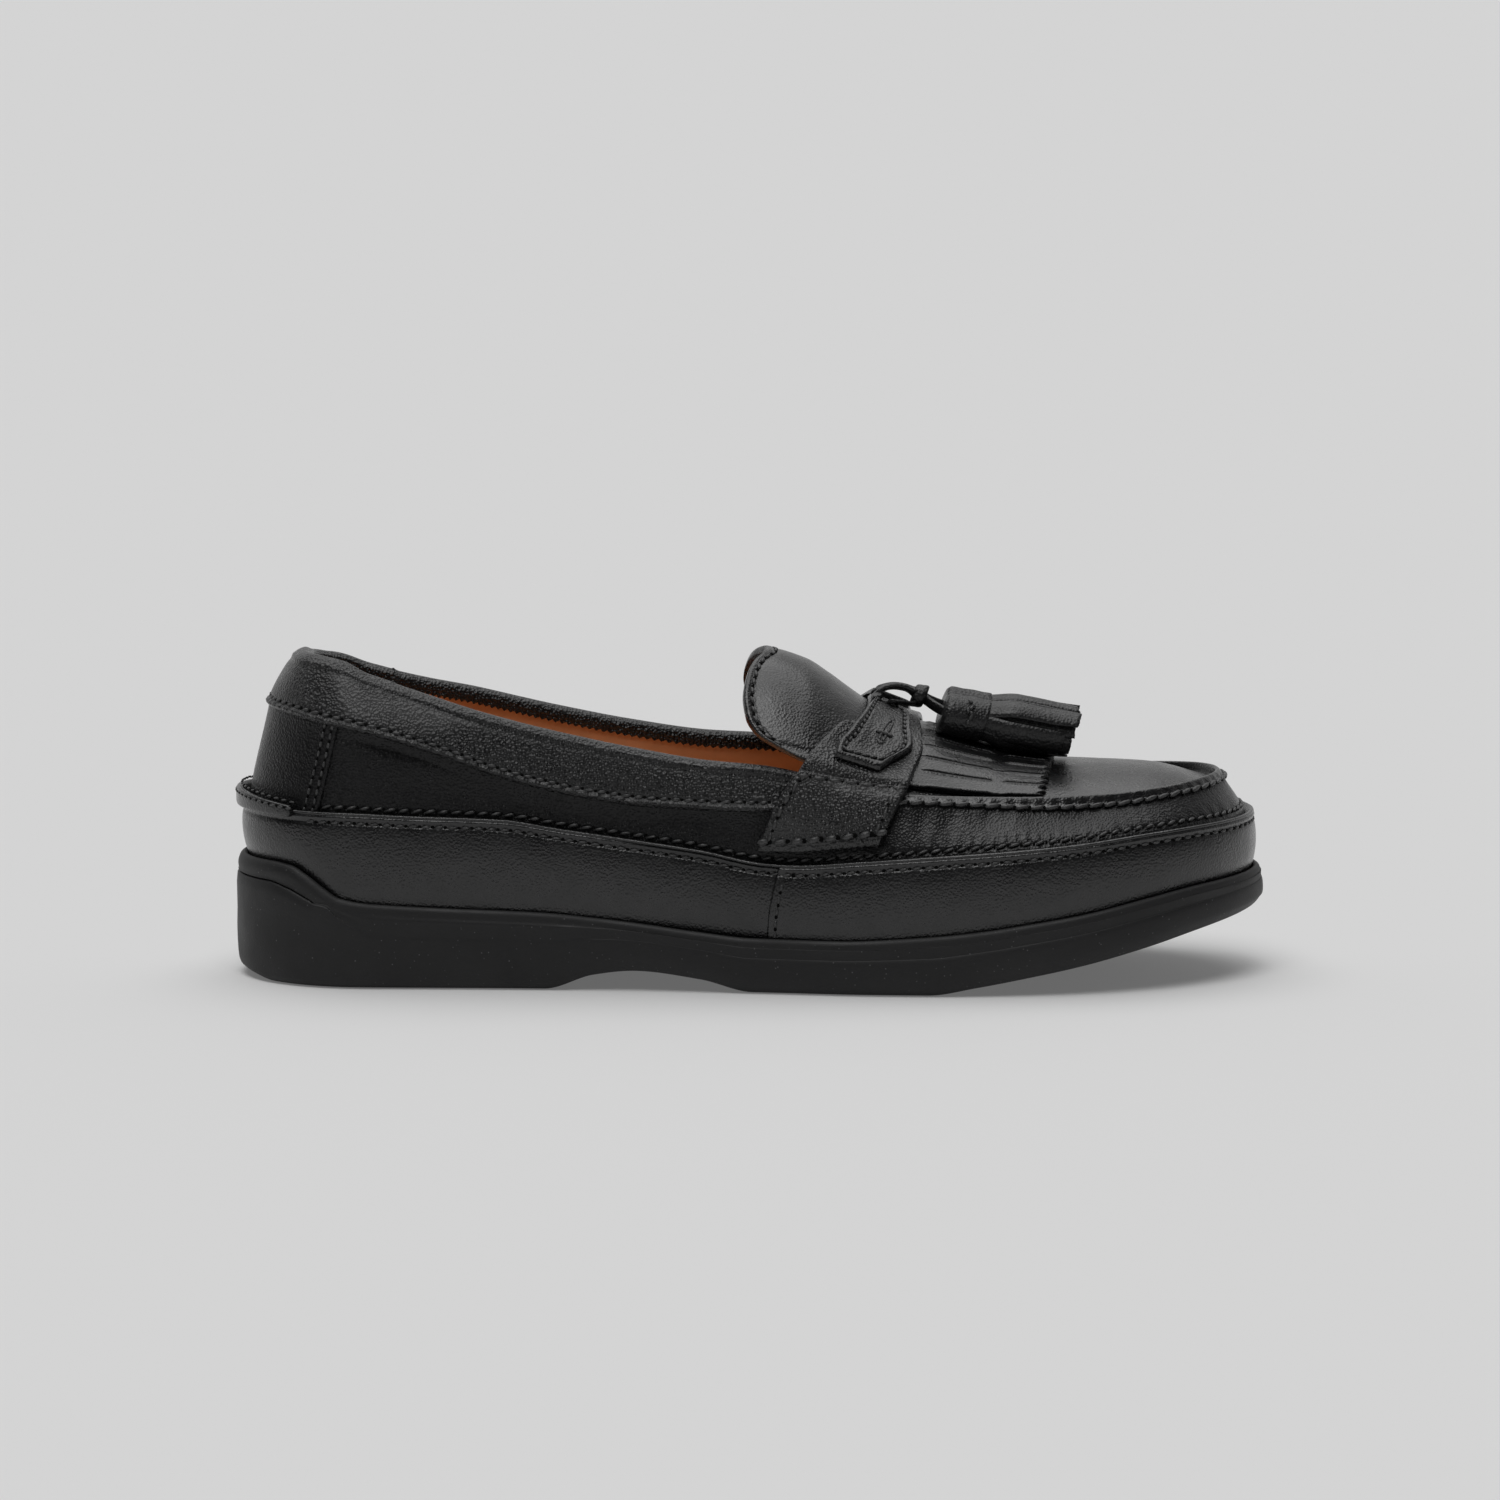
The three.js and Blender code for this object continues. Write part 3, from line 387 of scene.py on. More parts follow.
insole_in = RIM + GAP + WALL + GAP + 0.2
insole_low = bed + GAP
pad_edge = [(0, 0), (0, 0.5), (0.3, 0.8), (1.2, 1), (4, 0.98)]
pad = np.stack([inside(AROUND, insole_in + i, insole_low + INSOLE * share) for i, share in pad_edge])
crown = across_ring(pad[-1], 24)
dip = 1 - np.abs(np.linspace(-1, 1, 25)) ** 2.5
crown[..., 2] -= 0.35 * dip[None, :] * INSOLE * 0.5
pad_walls = (pad, quads(len(pad), len(AROUND), wrap_across=True))
pad_parts = [pad_walls, grid(crown), grid(across_ring(pad[0], 4))]
piece("insole_pad", pad_parts, tan_leather, ["insole"])


# The lower band runs round the whole upper, out of the cup sole to a folded top edge. It is smooth black
# leather, lapped at both sides of the waist, with a row of stitches above its edge and one below.
SEAM_HEIGHT, BACK_HEIGHT, BAND_LEDGE, PANEL_CURVE = 50.6, 94.7, 1.3, 1.35
LAP_X, LAP, LAP_SLANT = 154.4, 1.05, 3.4
SEAM = columns("at z inset", [
    (0.0, 1.0, 0.022), (0.1, 1.0, 0.026), (0.17, 0.984, 0.028), (0.26, 0.966, 0.028), (0.31, 0.921, 0.028),
    (0.38, 0.862, 0.028), (0.45, 0.804, 0.029), (0.51, 0.737, 0.03), (0.54, 0.729, 0.03), (0.6, 0.755, 0.031),
    (0.673, 0.787, 0.031), (0.75, 0.818, 0.031), (0.823, 0.852, 0.031), (0.897, 0.895, 0.031),
    (0.95, 0.911, 0.031), (1.0, 0.915, 0.031),
])
EDGE = columns("at z inset", [
    (0.0, 0.838, 0.098), (0.03, 0.833, 0.09), (0.06, 0.822, 0.078), (0.09, 0.81, 0.066), (0.12, 0.795, 0.058),
    (0.2, 0.722, 0.052), (0.25, 0.664, 0.05), (0.3, 0.621, 0.048), (0.35, 0.59, 0.048), (0.4, 0.571, 0.05),
    (0.5, 0.561, 0.058), (0.58, 0.575, 0.082), (0.65, 0.583, 0.112), (0.72, 0.573, 0.126), (0.8, 0.56, 0.132),
    (0.87, 0.563, 0.13), (0.93, 0.578, 0.12), (1.0, 0.597, 0.11),
])
TOP = columns("at z inset drop", [
    (0.0, 1.0, 0.165, 0.0), (0.03, 1.0, 0.142, 0.022), (0.06, 0.995, 0.14, 0.03), (0.09, 0.983, 0.142, 0.03),
    (0.12, 0.955, 0.138, 0.024), (0.157, 0.919, 0.129, 0.02), (0.187, 0.89, 0.116, 0.014),
    (0.237, 0.844, 0.086, 0.003), (0.287, 0.803, 0.077, 0.0), (0.33, 0.773, 0.072, 0.0),
    (0.38, 0.741, 0.07, 0.0), (0.45, 0.705, 0.073, 0.0), (0.51, 0.689, 0.08, 0.0), (0.54, 0.672, 0.088, 0.0),
    (0.58, 0.642, 0.106, 0.0), (0.65, 0.604, 0.127, 0.0), (0.72, 0.595, 0.14, 0.0), (0.8, 0.591, 0.146, 0.0),
    (0.87, 0.593, 0.142, 0.0), (0.93, 0.602, 0.131, 0.0), (1.0, 0.617, 0.121, 0.0),
])


def key_lines(phi):
    """Where the upper's main lines pass: cup, rim, band's seam, collar's or apron's edge, and top."""
    at = along(phi)
    drop = np.where(np.sin(phi) < -1e-9, TOP.drop(at), 0)
    return SimpleNamespace(
        at=at, x=at * LENGTH, bed=SOLE.bed(at) * LIP_HEIGHT + GAP, rim=SOLE.rim(at) * LIP_HEIGHT,
        seam_in=SEAM.inset(at) * BALL_WIDTH, seam_z=SEAM.z(at) * SEAM_HEIGHT,
        edge_in=EDGE.inset(at) * BALL_WIDTH, edge_z=EDGE.z(at) * BACK_HEIGHT,
        top_in=TOP.inset(at) * BALL_WIDTH, top_z=(TOP.z(at) - drop) * BACK_HEIGHT,
    )


def black_leather(name, grain, cell, gloss=(0.23, 0.35), shine=0.5, waves=0.35):
    """Black leather with pores a cell wide. grain is how deep they are."""
    look = finish_of(name)
    broad, middle, fine = noise(look, 38, 3), noise(look, 190, 3), noise(look, 2600 / cell)
    pores = cells(look, 1000 / cell, "SMOOTH_F1", Smoothness=0.35)
    shade, close = ramp(look, broad, 0.3, 0.7), ((fine, 0.3 * grain, 0.0002), (pores, 0.75 * grain, 0.0005))
    give(look, Base_Color=tint(look, shade, (0.0052, 0.0052, 0.0056), (0.0098, 0.0098, 0.0103)),
         Roughness=ramp(look, middle, 0.3, 0.72, *gloss), Specular_IOR_Level=shine, Coat_Weight=shine * 0.6,
         Coat_Roughness=0.24, Normal=bump(look, *close, (middle, 0.16, 0.0007), (broad, waves, 0.0024)))
    return look


smooth_leather = black_leather("smooth_leather", 0.4, 0.7)
thread = finish_of("black_thread")
give(thread, Base_Color=tint(thread, noise(thread, 2500, 1), (0.02, 0.02, 0.02), (0.065, 0.065, 0.066)),
     Roughness=0.32, Normal=bump(thread, (noise(thread, 3200, 1), 0.5, 0.0003)))
# Near-black matte marks laid between the stitches: painted shade for the dark inside of the needle holes.
painted_hole_shade = finish_of("painted_hole_shade")
dark = tint(painted_hole_shade, noise(painted_hole_shade, 900, 1), (0.001, 0.001, 0.001), (0.003, 0.003, 0.003))
give(painted_hole_shade, Base_Color=dark, Roughness=0.9, Specular_IOR_Level=0.1)

# Small grains along rows: each row is resampled at the pitch, and every grain lies along the row.
sewing = bpy.data.node_groups.new("sewing", "GeometryNodeTree")
sewing.is_modifier = True
SIZES = ("Pitch", "Length", "Width", "Height", "Slant", "Shift", "Uneven")
new_socket = sewing.interface.new_socket
new_socket("Geometry", in_out="INPUT", socket_type="NodeSocketGeometry")
for size in SIZES:
    new_socket(size, in_out="INPUT", socket_type="NodeSocketFloat")
new_socket("Material", in_out="INPUT", socket_type="NodeSocketMaterial")
new_socket("Geometry", in_out="OUTPUT", socket_type="NodeSocketGeometry")


def sewing_node(kind, values, **settings):
    return add_node(sewing, kind, values, **settings)


given = sewing_node("NodeGroupInput", {})
line = sewing_node("GeometryNodeMeshToCurve", {0: given[0]})[0]
spaced = sewing_node("GeometryNodeResampleCurve", {0: line, "Length": given["Pitch"]}, mode="LENGTH")[0]
tangent = sewing_node("GeometryNodeInputTangent", {})[0]
upward = sewing_node("GeometryNodeInputNamedAttribute", {"Name": "up"}, data_type="FLOAT_VECTOR")["Attribute"]
lie_along = sewing_node("FunctionNodeAlignRotationToVector", {"Vector": tangent}, axis="X")[0]
facing = {"Rotation": lie_along, "Vector": upward}
face_up = sewing_node("FunctionNodeAlignRotationToVector", facing, axis="Z", pivot_axis="X")[0]
turn_back = sewing_node("ShaderNodeMath", {0: given["Uneven"], 1: -1}, operation="MULTIPLY")[0]
turns = {"Min": turn_back, "Max": given["Uneven"], "Seed": 5}
jitter = sewing_node("FunctionNodeRandomValue", turns, data_type="FLOAT")[1]
angle = sewing_node("ShaderNodeMath", {0: given["Slant"], 1: jitter}, operation="ADD")[0]
slanted = sewing_node("FunctionNodeAxisAngleToRotation", {"Axis": (0, 0, 1), "Angle": angle})[0]
turning = {"Rotation": face_up, "Rotate By": slanted}
turned = sewing_node("FunctionNodeRotateRotation", turning, rotation_space="LOCAL")[0]
grain = sewing_node("GeometryNodeMeshUVSphere", {"Segments": 8, "Rings": 5, "Radius": 0.5})["Mesh"]
measures = {"X": given["Length"], "Y": given["Width"], "Z": given["Height"]}
sized = sewing_node("ShaderNodeCombineXYZ", measures)[0]
shaped = sewing_node("GeometryNodeTransform", {"Geometry": grain, "Scale": sized})[0]
growth = {"Min": (0.9, 0.88, 0.85), "Max": (1.08, 1.12, 1.12), "Seed": 8}
bigger = sewing_node("FunctionNodeRandomValue", growth, data_type="FLOAT_VECTOR")[0]
laying = {"Points": spaced, "Instance": shaped, "Rotation": turned, "Scale": bigger}
laid = sewing_node("GeometryNodeInstanceOnPoints", laying)[0]
moved_by = sewing_node("ShaderNodeCombineXYZ", {"X": given["Shift"]})[0]
moved = sewing_node("GeometryNodeTranslateInstances", {0: laid, "Translation": moved_by})[0]
real = sewing_node("GeometryNodeRealizeInstances", {0: moved})[0]
rounded = sewing_node("GeometryNodeSetShadeSmooth", {0: real})[0]
dyed = sewing_node("GeometryNodeSetMaterial", {0: rounded, "Material": given["Material"]})[0]
sewing_node("NodeGroupOutput", {0: dyed})


def stitches(name, rows, pitch, size, slant=0.0, shift=0.0, uneven=0.06, look=thread):
    """A stitch of (length, width, height) at every pitch along rows of (points, outward directions)."""
    points, ups, edges = [], [], []
    for p, up in rows:
        start = len(points)
        points.extend(((np.asarray(p) + ROW_PLACE) * 0.001).tolist())
        ups.extend(np.asarray(up).tolist())
        edges.extend((i, i + 1) for i in range(start, len(points) - 1))
    mesh = bpy.data.meshes.new(name + "_line")
    mesh.from_pydata(points, edges, [])
    directions = mesh.attributes.new("up", "FLOAT_VECTOR", "POINT").data
    directions.foreach_set("vector", np.array(ups, np.float32).ravel())
    guide = in_scene(name + "_line", mesh)
    modifier = guide.modifiers.new("sewing", "NODES")
    modifier.node_group = sewing
    values = dict(zip(SIZES, (pitch * 0.001, *(s * 0.001 for s in size), slant, shift * 0.001, uneven)))
    values["Material"] = look.material
    for socket in sewing.interface.items_tree:
        if socket.in_out == "INPUT" and socket.name in values:
            modifier[socket.identifier] = values[socket.name]
    evaluated = guide.evaluated_get(bpy.context.evaluated_depsgraph_get())
    made_mesh = bpy.data.meshes.new_from_object(evaluated)
    bpy.data.objects.remove(guide)
    made_mesh.name = name
    made = in_scene(name, made_mesh)
    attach(made, "root")


def sew(name, rows, pitch, size, hole, slant=0.0, uneven=0.06):
    """Stitches along rows, with a near-black mark of painted shade for a needle hole midway between each two.
    """
    stitches(name.format("stitches"), rows, pitch, size, slant, uneven=uneven)
    stitches(name.format("holes"), rows, pitch, hole, shift=pitch / 2, look=painted_hole_shade)


def unit(v):
    return v / np.maximum(np.linalg.norm(v, axis=-1, keepdims=True), 1e-9)


def surface_row(surface, a, b, height=0.0, da=0.01, db=0.01):
    """Points above a surface of two measures, and the directions away from it."""
    a, b = np.broadcast_arrays(np.asarray(a, float), np.asarray(b, float))
    n = unit(np.cross(surface(a + da, b) - surface(a - da, b), surface(a, b + db) - surface(a, b - db)))
    return surface(a, b) + n * np.asarray(height)[..., None], n


def outward(surface, phis, way, height=0.12):
    """A row on a ring's face, with its directions turned away from the shoe's inside."""
    points, ups = surface_row(surface, phis, way)
    (ax, ay), (bx, by) = outline(phis - 0.01), outline(phis + 0.01)
    away = np.stack([by - ay, -(bx - ax), np.zeros_like(ax)], -1)
    ups = ups * np.sign((ups * away).sum(-1, keepdims=True))
    return points + ups * height, ups


def band_face(phi, below):
    """The band's outer face, by the distance below its folded edge as a share of its height."""
    k = key_lines(phi)
    s = 1 - below
    way = (k.seam_z - k.rim) * below
    bulge = 1.25 * np.sin(np.pi * np.clip(s, 0, 1)) ** 0.75
    inset = lerp(RIM + GAP, k.seam_in, s) - bulge
    inset = inset + 0.34 * hump(way, 2.2, 0.6) - 0.5 * hump(way, 0.6, 0.65)
    lap_x = LAP_X + LAP_SLANT * np.clip(s, 0, 1) ** 1.6
    inset = inset + LAP * (1 - ease((k.x - lap_x) / 0.5 + 0.5)) * ease((k.x - 100) / 40)
    return inside(phi, inset, lerp(k.rim, k.seam_z, s))


laps = [phi_of(LAP_X + d) for d in np.arange(-0.5, LAP_SLANT + 0.6, 0.22)]
all_round = full_turn(1040)
band_around = np.unique(np.concatenate([all_round, laps, [2 * np.pi - p for p in laps]]))
k = key_lines(band_around)
shares = np.concatenate([np.linspace(1.12, 0.3, 15), np.linspace(0.27, 0.0, 24)])
rows = [band_face(band_around, s) for s in shares]
fold = [(-0.62, 0.2), (-0.45, 0.6), (-0.05, 0.82), (0.4, 0.8), (0.8, 0.45), (1.2, 0.0), (2.4, -0.6)]
rows += [inside(band_around, k.seam_in + i, k.seam_z + z) for i, z in fold]
for t in (0.4, 1.0, 1.12):
    rows.append(inside(band_around, lerp(k.seam_in, RIM + GAP, t) + 2.0, lerp(k.seam_z, k.rim, t)))
piece("lower_band", [loft(np.stack(rows, 1), True)], smooth_leather, ["upper"])


def bent(v, power):
    """A power with the sign kept."""
    return np.sign(v) * np.abs(v) ** power


def panel_face(phi, s, lift=0.0):
    """The side of the upper between the band's seam and the collar's or the apron's edge, s from 0 to 1."""
    k = key_lines(phi)
    s = np.clip(s, -0.2, 1.2)
    inset = lerp(k.seam_in + BAND_LEDGE, k.edge_in, bent(s, PANEL_CURVE)) + (1 - np.clip(s, 0, 1) ** 4) - lift
    return inside(phi, inset, lerp(k.seam_z, k.edge_z, s))


STRIP_HIDES, BAND_PITCH = 21, 3.8
seam_phis = np.linspace(phi_of(STRIP_HIDES), 2 * np.pi - phi_of(STRIP_HIDES), 900)
k = key_lines(seam_phis)
upper_row = outward(panel_face, seam_phis, 2.0 / (k.edge_z - k.seam_z), 0.25)
lower_row = outward(band_face, seam_phis, 2.2 / (k.seam_z - k.rim))
sew("band_{}_above", [upper_row], BAND_PITCH, (3.3, 1.05, 1.05), (0.9, 0.9, 0.3), slant=0.3)
sew("band_{}_below", [lower_row], BAND_PITCH, (2.7, 0.9, 0.85), (1.2, 0.9, 0.4), slant=0.15)
share = np.linspace(0.28, 0.96, 40)
lap_phi = phi_of(LAP_X + LAP_SLANT * (1 - share) ** 1.6 + 2.2)
lap_rows = [outward(band_face, side_of * lap_phi, share) for side_of in (1, -1)]
sew("lap_{}", lap_rows, 3.2, (2.4, 0.95, 0.85), (1.3, 0.95, 0.35))


# The two quarters and the vamp make the upper's sides, out of the same smooth leather, pulled over the last.
# The vamp puckers under the apron's seam where more leather is gathered into the stitches.
JOIN_X, STAY_X = 174, 20
TROUGHS = [  # pressed in: x, share of the side's height, length, height as a share, depth
    (46, 0.9, 12, 0.16, 0.7), (70, 0.42, 26, 0.3, 0.35), (104, 0.5, 20, 0.35, 0.4), (132, 0.75, 9, 0.3, 0.5),
    (205, 0.6, 10, 0.3, 0.35), (226, 0.72, 9, 0.3, 0.45), (247, 0.6, 9, 0.35, 0.35),
    (214, 0.3, 12, 0.25, 0.25),
]


def pucker(phi, s):
    k = key_lines(phi)
    x, y = outline(phi)
    way = np.where(np.sin(phi) >= 0, 1, -1) * (k.x - 2 * LENGTH) + 4 * np.sign(np.sin(phi)) * np.abs(y)
    small = 0.5 * np.sin(way / 0.7) + 0.32 * np.sin(way / 1.9 + 1.3) + 0.3 * np.sin(way / 1.13 + 0.5)
    wide = 0.55 * np.sin(way / 1.55 + 0.8 * np.sin(way / 6)) + 0.35 * np.sin(way / 2.6 + 2)
    front = ease((k.x - 185) / 25)
    toe = 1 - ease((k.x - 244) / 26)
    return front * (0.15 * small * np.clip(s, 0, 1) ** 4 + 0.36 * wide * hump(s, 0.7, 0.3) * toe)


def side_face(phi, s):
    k = key_lines(phi)
    dip = sum(d * hump(k.x, x, w) * hump(s, m, h) for x, m, w, h, d in TROUGHS)
    tall = k.edge_z - k.seam_z
    way = s * tall
    sewn_down = 0.25 * hump(way, 1.9, 0.6)
    tucks = 0.1 * np.sin(k.x * 1.65 + 2 * np.sin(k.x / 9)) * hump(way, 3.0, 2.0)
    under_collar = 0.85 * hump(k.x, 46, 13) * hump(way, tall - 3.6, 0.8)
    return panel_face(phi, s, pucker(phi, s) - dip - sewn_down - tucks - under_collar)


def side_piece(name, phis, leather):
    shares = np.concatenate([[-0.08], np.linspace(-0.03, 0.12, 10), np.linspace(0.15, 1, 28), [1.05, 1.12]])
    loops = [side_face(phis, s) for s in shares] + [panel_face(phis, s, -1.4) for s in (1.1, 0.6, 0.3, -0.1)]
    piece(name, [loft(np.stack(loops, 1))], leather)


quarter_leather = black_leather("quarter_leather", 0.95, 0.72, (0.25, 0.36), shine=0.2)
vamp_leather = black_leather("vamp_leather", 0.5, 0.7, (0.24, 0.36), shine=0.3)
quarter_phis = np.linspace(phi_of(STAY_X), phi_of(JOIN_X), 260)
side_piece("quarter_outer", quarter_phis, quarter_leather)
side_piece("quarter_inner", -quarter_phis, quarter_leather)
side_piece("vamp", np.linspace(phi_of(JOIN_X), 2 * np.pi - phi_of(JOIN_X), 620), vamp_leather)


# The backstay is a separate leather over the heel. It is a layer higher than the quarters, and two rows
# of stitches run along each of its front edges.
BACKSTAY, STAY_LOW_X, STAY_HIGH_X = 1.0, 22.4, 28.5


def edged(count, length, bevel=0.7):
    """Shares from 0 to 1 with close steps at both ends, and how much of the thickness each one has."""
    near = np.array([0, 0.08, 0.25, 0.55, 1.0]) * bevel
    middle = np.linspace(bevel, length - bevel, count)[1:-1]
    way = np.concatenate([near, middle, length - near[::-1]])
    from_end = np.minimum(np.minimum(way, length - way), bevel) / bevel
    return way / length, np.sqrt(np.clip(1 - (1 - from_end) ** 2, 0, 1))


def sheet(under, over, open_sides=""):
    """A closed sheet between two grids that meet along their edges, or with walls along open sides."""
    faces = quads(*under.shape[:2])
    count = under.shape[0] * under.shape[1]
    number = np.arange(count).reshape(under.shape[:2])
    sides = {"a": number[:, 0], "b": number[:, -1], "c": number[0], "d": number[-1]}
    walls = [[p, q, q + count, p + count] for s in open_sides for p, q in zip(sides[s], sides[s][1:])]
    return np.stack([under, over]), np.concatenate([faces[:, ::-1], faces + count]).tolist() + walls


turns, stay_full = edged(120, 90)
turn_grid, up_grid = np.meshgrid((2 * turns - 1), np.linspace(-0.06, 1.06, 30), indexing="ij")
stay_phi = turn_grid * phi_of(lerp(STAY_LOW_X, STAY_HIGH_X, np.clip(up_grid, 0, 1)))
stay_lift = BACKSTAY * stay_full[:, None] * np.ones_like(up_grid)
backstay = sheet(panel_face(stay_phi, up_grid, -0.3), panel_face(stay_phi, up_grid, stay_lift), "ab")
piece("backstay", [backstay], quarter_leather)
stay_rows = []
for side_of in (1, -1):
    for behind in (1.7, 4.4):
        s = np.linspace(0.03, 0.97, 60)
        x = lerp(STAY_LOW_X, STAY_HIGH_X, s) - behind
        stay_rows.append(outward(lambda p, q: panel_face(p, q, BACKSTAY), side_of * phi_of(x), s))
sew("backstay_{}", stay_rows, 2.6, (2.0, 0.85, 0.8), (0.9, 0.9, 0.35), slant=0.1)


# The collar is a padded band of grained leather round the opening. Its folded lower edge is sewn over the
# quarters, it rolls over the top, and its inside is a black facing with a pinked lower edge.
COLLAR_STEP, COLLAR_PAD, COLLAR_END, COLLAR_PITCH, SEWN_AT = 1.5, 4.6, 178, 3.65, 2.3
FACING, HEEL_FACING, HEEL_FACING_END = 4.4, 17, 46
collar_phis = np.linspace(-phi_of(COLLAR_END), phi_of(COLLAR_END), 760)
k = key_lines(collar_phis)
collar_tall = np.hypot(k.top_z - k.edge_z, k.top_in - k.edge_in)


def collar_face(phi, t, sewn_way=None):
    """The collar's outer face from its folded edge (0) to its top (1), drawn in at each stitch."""
    k = key_lines(phi)
    bulge = lerp(0.9, 0.2, ease((k.at - 0.42) / 0.08))
    tall = np.hypot(k.top_z - k.edge_z, k.top_in - k.edge_in)
    way = t * tall
    inset = lerp(k.edge_in - COLLAR_STEP, k.top_in, t)
    inset = inset - bulge * 1.15 * np.sin(np.pi * np.clip(t, 0, 1)) ** 0.6
    inset = inset + 0.42 * hump(way, SEWN_AT, 0.6) - 0.45 * hump(way, 0.75, 0.65)
    inset = inset + 0.2 * hump(way, tall - 3.0, 0.9) - 0.3 * hump(way, tall - 1.2, 1.0)
    if sewn_way is not None:
        drawn = 1 - np.cos(2 * np.pi * np.interp(phi, collar_phis, sewn_way) / COLLAR_PITCH)
        inset = inset - 0.17 * drawn * hump(way, 1.3, 1.0)
    return inside(phi, inset, lerp(k.edge_z, k.top_z, t))


def steps_along(points):
    """The way along a row of points to each one of them."""
    return np.concatenate([[0], np.cumsum(np.linalg.norm(np.diff(points, axis=0), axis=1))])


collar_way = steps_along(collar_face(collar_phis, SEWN_AT / collar_tall))
pad = lerp(COLLAR_PAD, 3.0, ease((k.at - 0.5) / 0.08))
# The facing is deep round the heel, and pinked where it is narrow.
narrow = ease((k.x - HEEL_FACING_END) / 3)
facing = lerp(HEEL_FACING, FACING, narrow) + 0.4 * narrow * (np.arange(len(collar_phis)) % 3 - 1)
heel_layer = 0.45 * (1 - ease((k.x - HEEL_FACING_END) / 0.8))
folded_in = k.edge_in - COLLAR_STEP
fold_rows = [
    (k.edge_in + 0.9, k.edge_z - 0.1), (k.edge_in + 0.2, k.edge_z - 0.55), (folded_in + 0.6, k.edge_z - 0.6),
    (folded_in + 0.12, k.edge_z - 0.35),
]
heights = np.concatenate([np.linspace(0, 0.28, 18), np.linspace(0.31, 0.92, 24)])
outer_rows = [collar_face(collar_phis, t, collar_way) for t in heights]
roll_rows = through([
    (lerp(folded_in, k.top_in, 0.94) - 0.5, lerp(k.edge_z, k.top_z, 0.94)),
    (k.top_in + pad * 0.1, k.top_z + 0.05),
    (k.top_in + pad * 0.5, k.top_z + 0.3 + heel_layer * 0.6),
    (k.top_in + pad * 0.86 + heel_layer, k.top_z - 0.65 + heel_layer * 0.6),
    (k.top_in + pad * 0.98 + heel_layer, k.top_z - 2.0),
    (k.top_in + pad * 0.98 + heel_layer, k.top_z - facing * 0.7),
    (k.top_in + pad * 0.97 + heel_layer, k.top_z - facing),
], 4)
roll_rows.append((k.top_in + pad * 0.75, k.top_z - facing - 0.15))
roll_rows.append((k.top_in + pad * 0.5, k.top_z - facing + 0.6))
fold_rows, roll_rows = ([inside(collar_phis, i, z) for i, z in part] for part in (fold_rows, roll_rows))
collar = np.stack(fold_rows + outer_rows + roll_rows, 1)
collar_leather = black_leather("collar_leather", 1.4, 0.8, (0.25, 0.36), shine=0.4, waves=0.15)
piece("collar", [loft(collar)], collar_leather)
collar_row = outward(lambda p, t: collar_face(p, t, collar_way), collar_phis, SEWN_AT / collar_tall)
sew("collar_{}", [collar_row], COLLAR_PITCH, (2.8, 1.1, 1.0), (1.1, 1.4, 0.45), slant=0.2)

# A short row of stitches ends the deep facing on each side.
bar_rows = []
for side_of in (1, -1):
    turn = np.full(20, side_of * phi_of(HEEL_FACING_END - 0.6))
    b = key_lines(turn)
    down = np.linspace(0, 1, 20)
    bar_in = b.top_in + COLLAR_PAD * lerp(0.5, 1.1, down**0.5) + 0.3
    bar = inside(turn, bar_in, b.top_z + 0.5 - 4.2 * down**1.6)
    bar_rows.append((bar, np.tile([0.0, -0.8 * side_of, 0.6], (20, 1))))
stitches("heel_facing_stitches", bar_rows, 1.5, (1.5, 0.8, 0.8), slant=0.7)


# The lining inside the upper is thin tan leather, glued to the sides. Its top is tucked under the facing
# and under the apron, and its foot goes down between the insole and the cup.
LINING = 0.8
lining_phis = full_turn(420)
k = key_lines(lining_phis)
front = ease((k.at - 0.545) / 0.06)
pad = lerp(COLLAR_PAD, 2.5, front)
middle_in = lerp(k.seam_in + BAND_LEDGE, k.edge_in, 0.39) + 0.9 + WALL + 0.3
lining_knots = [
    (k.top_in + pad * lerp(0.86, 0.9, front), k.top_z - lerp(FACING - 2.0, 5.5, front)),
    (lerp(k.edge_in, k.top_in, 0.5) + pad * 0.92, lerp(k.edge_z, k.top_z, 0.45) - 4 * front),
    (k.edge_in + WALL + 0.8, k.edge_z - 5 * front),
    (middle_in, lerp(k.seam_z, k.edge_z, lerp(0.5, 0.35, front))),
    (k.seam_in + WALL + 1.9, k.seam_z),
    (RIM + GAP + WALL + 0.1, lerp(k.rim, k.seam_z, 0.35)),
    (RIM + GAP + WALL + 0.1, k.bed + 0.5),
]
lining = [inside(lining_phis, i, z) for i, z in through(lining_knots, 3)]
lining += [inside(lining_phis, i - LINING, z) for i, z in through(lining_knots, 1)][::-1]
piece("lining", [loft(np.stack(lining, 1), True)], tan_leather)


# The apron is the plug of smooth leather over the forefoot. Its edge and the vamp's are pinched up together
# into a raised seam, sewn through by hand with thick waxed thread.
INSTEP_HEIGHT, CREST_DROP, APRON_INSET, APRON = 95, 2.4, 1.3, 1.6
CREST = columns("at z", [
    (0.48, 0.985), (0.515, 0.981), (0.55, 0.95), (0.572, 0.906), (0.593, 0.856), (0.613, 0.813),
    (0.653, 0.763), (0.682, 0.736), (0.717, 0.701), (0.753, 0.673), (0.793, 0.655), (0.833, 0.648),
    (0.867, 0.643), (0.893, 0.636), (0.913, 0.622), (0.935, 0.6), (0.96, 0.585),
])


def apron_edge(phi):
    at = along(phi)
    drop = CREST_DROP * lerp(0.5, 1, ease((at - 0.545) / 0.06))
    return inside(phi, TOP.inset(at) * BALL_WIDTH + APRON_INSET, TOP.z(at) * BACK_HEIGHT - drop)


